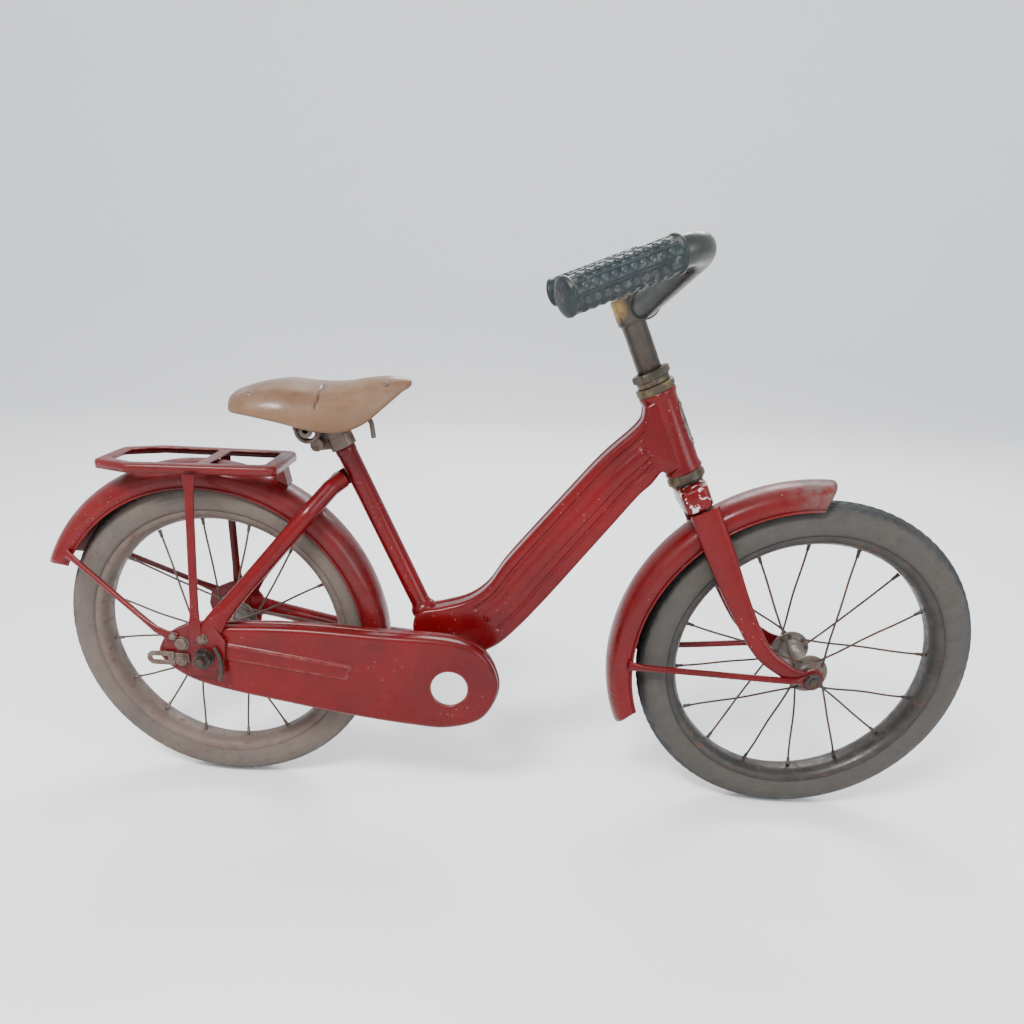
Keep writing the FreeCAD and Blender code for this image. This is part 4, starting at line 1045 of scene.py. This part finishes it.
def build_head():
    tube = [(0.0, 12.75), (0.0, 15.2), (0.8, 15.7), (2.6, 15.6), (4.4, 14.9), (7.0, 14.5), (63.0, 14.5),
            (65.6, 14.9), (67.4, 15.6), (69.2, 15.7), (70.0, 15.2), (70.0, 12.75)]
    spun_piece("head_tube_shell", "frame", FRAME_RED, "head_tube", tube, on_head(0, 0, 0),
               HEAD_AXIS, 64)

    badge = Mesh()
    shape = superellipse(10.5, 19.5, 0.55, 56)
    loops = []
    for scale, level in ((1.0, 14.4), (1.0, 15.0), (0.97, 15.25), (0.9, 15.25), (0.87, 15.0), (0.7, 15.0),
                         (0.5, 15.05), (0.3, 15.1), (0.12, 15.1)):
        points = []
        for u, v in shape:
            angle = scale * u / 15.0
            points.append(on_head(level * math.cos(angle), level * math.sin(angle), 38 + scale * v))
        loops.append(points)
    badge.lofted(loops)
    for along in (22.5, 53.5):
        badge.turned([(14.9, 0.05), (14.9, 1.5), (15.4, 1.3), (15.7, 0.7), (15.75, 0.05)],
                     on_head(0, 0, along), on_head(1, 0, 0) - on_head(0, 0, 0), count=14)
    badge.piece("blank_head_badge", "frame", [BADGE], ["head_badge"])


def build_seat_tube():
    tube = [(-30, 4.0), (-30, 12.0), (3.0, 12.0), (4.6, 11.7), (6.4, 10.4), (8.0, 9.4), (11.0, 9.0),
            (157.0, 9.0), (158.5, 9.5), (162.4, 9.5), (163.0, 9.1), (163.0, 7.45), (12.0, 7.45),
            (12.0, 4.0)]
    spun_piece("seat_tube_shell", "frame", FRAME_RED, "seat_tube", tube, on_seat(0, 0, 0),
               SEAT_AXIS, 52)


def flattening(path, round_size, flat_size, length):
    """Section sizes that turn from round to flat over the last part of a path."""
    sizes = []
    for point in path:
        t = max(0.0, min(1.0, 1 - (point - path[-1]).length / length))
        t = t * t * (3 - 2 * t)
        sizes.append(tuple(a + (b - a) * t for a, b in zip(round_size, flat_size)))
    return sizes


def build_stays():
    for name, side in (("right", -1), ("left", 1)):
        corners = [(-151, side * 7, 303), (-160, side * 17, 297), (-178, side * 33, 277),
                   (-256, side * 58.6, 189), (-269, side * 61, 171)]
        path = divided(bent_path(corners, [12, 30, 30]), 9.0)
        mesh = Mesh()
        mesh.swept(path, flattening(path, (7.5, 7.5), (10.0, 2.1), 42), count=32)
        mesh.piece("seat_stay_tube_" + name, "frame", [FRAME_RED], ["seat_stay_" + name])
    corners = [(-64, 24, 142), (-140, 27, 147), (-250, 55.4, 158), (-263, 58.6, 157)]
    path = divided(bent_path(corners, [90, 20]), 9.0)
    mesh = Mesh()
    mesh.swept(path, flattening(path, (8.0, 8.0), (10.0, 2.3), 40), count=32)
    mesh.piece("chain_stay_tube_left", "frame", [FRAME_RED], ["chain_stay_left"])


PLATE_OUTLINE = [(-252, 166), (-262, 180), (-284, 181), (-305, 172), (-309, 158), (-306, 142),
                 (-292, 132), (-266, 131), (-256, 140)]


def stadium(x_end, z, radius, x_root, steps=10):
    """Strip outline with a round end at its rear."""
    points = []
    for k in range(steps + 1):
        angle = math.pi / 2 + math.pi * k / steps
        points.append((x_end + radius * math.cos(angle), z + radius * math.sin(angle)))
    return points + [(x_root, z - radius), (x_root, z + radius)]


def on_right(u, v, level):
    """Place a side-view outline on the chain side, level millimetres out."""
    return (u, -level, v)


def nut_profile(low, high, radius, bore):
    return [(low, bore), (low, radius - 0.8), (low + 0.4, radius), (high - 0.5, radius),
            (high, radius - 0.9), (high, bore)]


def build_rear_end():
    x, z = REAR_HUB
    outline = rounded_outline(PLATE_OUTLINE, 3.0, 4)
    holes = [circle(x, z, 5.1, 36), circle(-292, 163, 3.0, 24), circle(-293, 148, 2.5, 24),
             circle(-273, 168, 3.0, 24)]
    for name, side in (("right", -1), ("left", 1)):
        mesh = Mesh()
        mesh.plate(outline, holes, 59.0, 63.0, 0.5, lambda u, v, level, side=side: (u, side * level, v))
        for hx, hz, radius, high in ((-292, 163, 5.6, 66.4), (-293, 148, 4.2, 65.0 if side > 0 else 70.0),
                                     (-273, 168, 4.2, 65.9)):
            spot = (hx, 0, hz)
            outward = (0, side, 0)
            low = 63.0 if high < 68 else 67.0
            shank = 2.9 if radius > 4.5 else 2.4
            mesh.turned(drum(58.0, low, shank, 0.2), spot, outward, count=20, slot=1)
            mesh.turned(drum(low, low + 0.9, radius + 1.3, 0.2), spot, outward, count=36, slot=1)
            mesh.turned(nut_profile(low + 0.9, high, radius, 0.05), spot, outward, count=48,
                        across=radius * 1.8, slot=1)
        mesh.piece("axle_plate_and_bolts_" + name, "frame", [REAR_RED, RUSTY], ["axle_plate_" + name],
                   sharp=32)

    axle = [(-80.0, 0.05), (-80.0, 3.9), (-79.4, 4.45), (-72.5, 4.45), (-72.5, 5.0), (72.5, 5.0),
            (72.5, 4.45), (79.4, 4.45), (80.0, 3.9), (80.0, 0.05)]
    spun_piece("rear_axle_rod", "frame", OILY_STEEL, "rear_axle", axle, (x, 0, z), ACROSS, 32)
    nuts = Mesh()
    for side in (-1, 1):
        nuts.turned(drum(63.05, 64.45, 9.0, 0.3, 5.05), (x, 0, z), (0, side, 0), count=40)
        nuts.turned(nut_profile(64.5, 72.5, 8.6, 5.05), (x, 0, z), (0, side, 0), count=60, across=15.0)
    nuts.piece("rear_nut_set", "frame", [OILY_STEEL], ["rear_nuts"], sharp=30)
    cones = Mesh()
    cones.turned([(31.6, 5.05), (31.6, 7.4), (33.4, 8.5), (58.4, 8.5), (59.0, 8.0), (59.0, 5.05)],
                 (x, 0, z), ACROSS, count=40)
    cones.turned([(45.5, 5.05), (45.5, 7.0), (46.2, 7.5), (51.8, 7.5), (52.3, 7.0), (52.3, 5.05)],
                 (x, 0, z), (0, -1, 0), count=40)
    cones.piece("rear_cone_pair", "frame", [OILY_STEEL], ["rear_cones"])

    tab = Mesh()
    tab.plate(stadium(-318, 149, 6.5, -299), [stadium(-318, 149, 2.0, -305)], 65.0, 67.0, 0.35, on_right)
    tab.plate([(-303, 144), (-303, 154), (-286, 153), (-286, 145)], [circle(-293, 148, 2.5, 20)],
              63.05, 65.4, 0.3, on_right)
    tab.piece("axle_adjuster_tab", "frame", [RUSTY], ["adjuster_tab"], sharp=32)

    hook = Mesh()
    path = smooth_path([(-262, -64.6, 161), (-259, -66.2, 155), (-256.6, -67, 147), (-256.9, -67.2, 138),
                        (-259, -68, 129)], 6)
    sizes = [(2.3, 2.3)] * len(path)
    sizes[-1] = (1.2, 1.2)
    sizes[-2] = (1.9, 1.9)
    hook.swept(path, sizes, count=16)
    hook.piece("spring_hook", "frame", [OILY_STEEL], ["hook_arm"])


CASE_FACE = 58.0
CASE_OUTLINE = [(-5.5, 131), (-19, 162), (-49, 174.5), (-115, 177), (-188, 180), (-253, 178),
                (-296, 173), (-318, 152), (-302, 131), (-267, 117), (-194, 103.5), (-138, 94.5),
                (-86, 88.5), (-50, 87.5), (-18, 100)]


def build_case():
    outline = smooth_outline(CASE_OUTLINE, 8)
    rings = [(inset(outline, -1.1), 46.0), (inset(outline, -1.2), 46.9), (inset(outline, -0.7), 47.5),
             (inset(outline, 0.1), 47.8), (inset(outline, 0.1), 53.4), (inset(outline, 0.7), 55.6),
             (inset(outline, 1.9), 57.0), (inset(outline, 3.4), 57.8), (inset(outline, 5.2), CASE_FACE)]
    panel = rounded_outline([(-262, 163), (-262, 149), (-144, 133), (-139, 146)], 2.6, 5)
    hole = [(circle(*CRANK, radius, 56), level)
            for radius, level in ((18.4, CASE_FACE), (17.5, 57.75), (16.8, 57.1), (16.6, 55.6))]
    features = [(hole, False, 0.25),
                ([(inset(panel, inward), CASE_FACE + raised)
                  for inward, raised in ((-1.1, 0), (-0.4, 0.5), (0.2, 1.5), (0.9, 1.8), (2.2, 1.4))],
                 True, 0.25),
                ([(circle(*REAR_HUB, 6.2, 32), CASE_FACE), (circle(*REAR_HUB, 5.6, 32), 57.4)], False, 0.0)]
    mesh = Mesh()
    mesh.pressed(rings, features, on_right)
    mesh.piece("chain_case_cover", "frame", [CASE_RED], ["chain_case_outer"],
               sheet=1.2, sharp=34)


# ---------------------------------------------------------------- rack

def build_rack():
    outline = rounded_outline([(-202, -41), (-330, -47), (-364, -31), (-364, 31), (-330, 47), (-202, 41)],
                              8.0, 5)
    rings = [(outline, 309.9), (outline, 314.6), (inset(outline, 0.4), 316.0), (inset(outline, 1.3), 317.0),
             (inset(outline, 2.6), 317.4)]
    windows = [[(-214, -29), (-262, -32), (-262, 32), (-214, 29)],
               [(-272, -33), (-328, -35), (-352, -22), (-352, 22), (-328, 35), (-272, 33)]]
    features = []
    for window in windows:
        shape = rounded_outline(window, 5.0, 5)
        features.append(([(inset(shape, -1.0), 317.4), (inset(shape, -0.3), 317.2), (shape, 316.6),
                          (shape, 316.1)], False, 0.5))
    mesh = Mesh()
    mesh.pressed(rings, features, lambda u, v, level: (u, v, level))
    mesh.piece("rack_pressing", "frame", [REAR_RED], ["rack"], sheet=1.3, sharp=34)

    struts = Mesh()
    for side in (-1, 1):
        path = divided([(-274, side * 48.6, 310.5), (-277.8, side * 61.6, 190), (-278, side * 64.2, 180),
                        (-278, side * 64.3, 166)], 8.0)
        sizes = []
        for point in path:
            foot = max(0.0, min(1.0, (194 - point.z) / 12))
            head = max(0.0, min(1.0, (point.z - 298) / 8))
            flat = max(foot, head)
            sizes.append((3.9 + 1.6 * flat, 2.1 - 1.0 * flat))
        struts.swept(path, sizes, count=24, power=0.8)
    struts.piece("rack_strut_pair", "frame", [REAR_RED], ["rack_struts"])


# ---------------------------------------------------------------- saddle

# Each saddle station is (x, half width, edge height, top height).
SADDLE_STATIONS = [(-245, 15, 363.5, 368.5), (-242, 26, 362, 373.5), (-236, 36, 361, 377),
                   (-220, 45, 360, 382), (-195, 48, 356, 386), (-170, 45, 350, 384.5),
                   (-147, 39, 348, 385), (-128, 30, 354, 388), (-110, 20, 368, 390),
                   (-98, 11, 378, 389), (-93, 6.5, 381, 388), (-91, 3, 383.2, 386.6)]
SPRING_CENTRE = (-176, 347)


def saddle_point(station, turn):
    """Point on the shell's outside; turn runs from 0 at the left edge to 1 at the right edge."""
    x, half, low, high = station
    angle = math.pi * turn
    shoulder = math.exp(-((abs(turn - 0.5) - 0.27) / 0.06) ** 2) * min(1.0, half / 40) * 0.9
    rise = math.sin(angle) ** 0.72
    flare = 0.6 * math.exp(-(math.sin(angle) / 0.16) ** 2) * min(1.0, half / 30)
    sideways = half * math.cos(angle) * (1 - 0.015 * rise)
    return Vector((x, sideways + math.copysign(flare, math.cos(angle)) * 0.5,
                   low + (high - low) * rise + shoulder - 0.9))


def build_saddle():
    stations = smooth_path(SADDLE_STATIONS, 15)
    crack = [(-163.0, -14.0), (-161.5, -22.0), (-164.5, -29.0), (-163.5, -35.0), (-165.6, -40.0)]
    mesh = Mesh()
    rows = []
    count = 108
    for station in stations:
        row = []
        for k in range(count + 1):
            point = saddle_point(station, k / count)
            near_crack = 9.0
            for first, second in zip(crack, crack[1:]):
                a, b = Vector(first), Vector(second)
                flat = Vector((point.x, point.y))
                t = max(0.0, min(1.0, (flat - a).dot(b - a) / (b - a).length_squared))
                near_crack = min(near_crack, (flat - a.lerp(b, t)).length)
            dark = max(0.0, 1 - near_crack / 1.35)
            point.z -= 0.8 * dark
            row.append((point, dark))
        verts = mesh.loop([point for point, dark in row])
        for vert, (point, dark) in zip(verts, row):
            vert[mesh.mark] = (dark, dark, dark, 1.0)
        rows.append(verts)
    mesh.skin(rows, closed=False)
    for row in (rows[0], rows[-1]):
        mesh.cap(row)
    mesh.piece("saddle_shell_moulding", "saddle", [TAN], ["saddle_shell"],
               sheet=2.6, sharp=60)

    rivets = Mesh()
    for x, turn, radius in ((-111, 0.76, 2.6), (-111, 0.24, 2.6), (-220, 0.79, 3.0), (-220, 0.21, 3.0)):
        nearest = min(stations, key=lambda s: abs(s[0] - x))
        spot = saddle_point(nearest, turn)
        ahead = saddle_point(nearest, turn + 0.01) - saddle_point(nearest, turn - 0.01)
        outward = Vector((0, -ahead.z, ahead.y)).normalized()
        if outward.z < 0:
            outward = -outward
        rivets.turned([(-0.4, 0.05), (-0.4, radius), (0.3, radius), (0.8, radius * 0.75),
                       (1.1, radius * 0.35), (1.15, 0.05)], spot, outward, count=22)
    rivets.piece("saddle_rivets", "saddle", [RUSTY], ["saddle_shell"])

    spring = Mesh()
    x, z = SPRING_CENTRE
    spring.turned(drum(-33, 33, 3.0, 0.6), (x, 0, z), ACROSS, count=24)
    for side in (-1, 1):
        spring.turned(drum(31.0, 33.0, 6.0, 0.4), (x, 0, z), (0, side, 0), count=28)
        path = []
        for k in range(97):
            angle = math.tau * 3.5 * k / 96
            path.append((x + 9.5 * math.cos(angle), side * (18.6 + 12.0 * k / 96),
                         z + 9.5 * math.sin(angle)))
        spring.swept(path, (1.75, 1.75), count=12)
    spring.piece("saddle_coil_springs", "saddle", [RUSTY], ["saddle_spring"])


build_beam()
build_head()
build_seat_tube()
build_stays()
build_rear_end()
build_case()
build_rack()
build_saddle()


# ---------------------------------------------------------------- plain CAD nodes, light and camera

def finish_cad_nodes():
    """CAD nodes that stay as they are take one of the procedural materials."""
    kept = {
        "seat_clamp": RUSTY, "seat_clamp_bolts": RUSTY, "seat_post": RUSTY, "saddle_rail": RUSTY,
        "crank_hanger": CASE_RED, "chain_case_inner": CASE_RED, "chain_stay_right": CASE_RED,
        "case_bolt": OILY_STEEL, "sprocket": OILY_STEEL, "rack_tab": REAR_RED,
    }
    for name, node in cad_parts.items():
        material = kept.get(name, FRAME_RED)
        for slot in node.material_slots:
            slot.material = material


def build_stage():
    mesh = bpy.data.meshes.new("floor")
    reach = 6.0
    bend = 1.5
    rows = [(-reach, 0.0)]
    rows += [(2.6 + bend * math.sin(math.radians(9 * k)), bend - bend * math.cos(math.radians(9 * k)))
             for k in range(11)]
    rows.append((2.6 + bend, 5.0))
    points = [(x, y, z - 0.0005) for y, z in rows for x in (-reach, reach)]
    faces = [(2 * k, 2 * k + 1, 2 * k + 3, 2 * k + 2) for k in range(len(rows) - 1)]
    mesh.from_pydata(points, [], faces)
    mesh.shade_smooth()
    floor = bpy.data.objects.new("floor", mesh)
    bpy.context.scene.collection.objects.link(floor)
    paint = Paint("floor_paper", 0.9)
    colour = paint.mix(paint.noise(3), (0.86, 0.86, 0.86), (0.89, 0.89, 0.89))
    floor.data.materials.append(paint.done(colour))


def area_light(name, place, target, size, power, colour=(1, 1, 1)):
    light = bpy.data.lights.new(name, "AREA")
    light.shape = "RECTANGLE"
    light.size = size[0]
    light.size_y = size[1]
    light.energy = power
    light.color = colour
    made = bpy.data.objects.new(name, light)
    made.location = place
    made.rotation_euler = (Vector(target) - Vector(place)).to_track_quat("-Z", "Y").to_euler()
    bpy.context.scene.collection.objects.link(made)


def build_lights():
    world = bpy.data.worlds.new("studio")
    world.use_nodes = True
    world.node_tree.nodes["Background"].inputs["Color"].default_value = (0.92, 0.95, 1.0, 1.0)
    world.node_tree.nodes["Background"].inputs["Strength"].default_value = 1.15
    bpy.context.scene.world = world
    area_light("key", (-0.8, -1.5, 2.0), (0, 0, 0.2), (0.8, 0.5), 85)
    area_light("fill", (1.8, -1.6, 1.1), (0.1, 0, 0.2), (1.2, 1.2), 30, (0.9, 0.96, 1.0))
    area_light("back", (0.4, 1.9, 1.9), (0, 0, 0.2), (1.6, 0.8), 52)


# The camera's place in the drawing, then degrees: round the upright axis, down from level, roll.
CAMERA_PLACE = (2.93, -752.42, 461.98)
CAMERA_AROUND = 3.7826
CAMERA_DOWN = 26.2463
CAMERA_ROLL = 1.4177


def build_camera():
    """Looks down at the chain side from a little in front of the middle."""
    camera = bpy.data.cameras.new("camera")
    camera.lens = 29.88
    camera.sensor_width = 36.0
    camera.shift_x = 0.0543
    camera.shift_y = 0.1830
    camera.clip_start = 0.05
    made = bpy.data.objects.new("camera", camera)
    turn = (Matrix.Rotation(math.radians(CAMERA_AROUND), 4, "Z")
            @ Matrix.Rotation(math.radians(90 - CAMERA_DOWN), 4, "X")
            @ Matrix.Rotation(math.radians(CAMERA_ROLL), 4, "Z"))
    made.matrix_world = Matrix.Translation(at(CAMERA_PLACE)) @ turn
    bpy.context.scene.collection.objects.link(made)
    bpy.context.scene.camera = made


finish_cad_nodes()
build_stage()
build_lights()
build_camera()
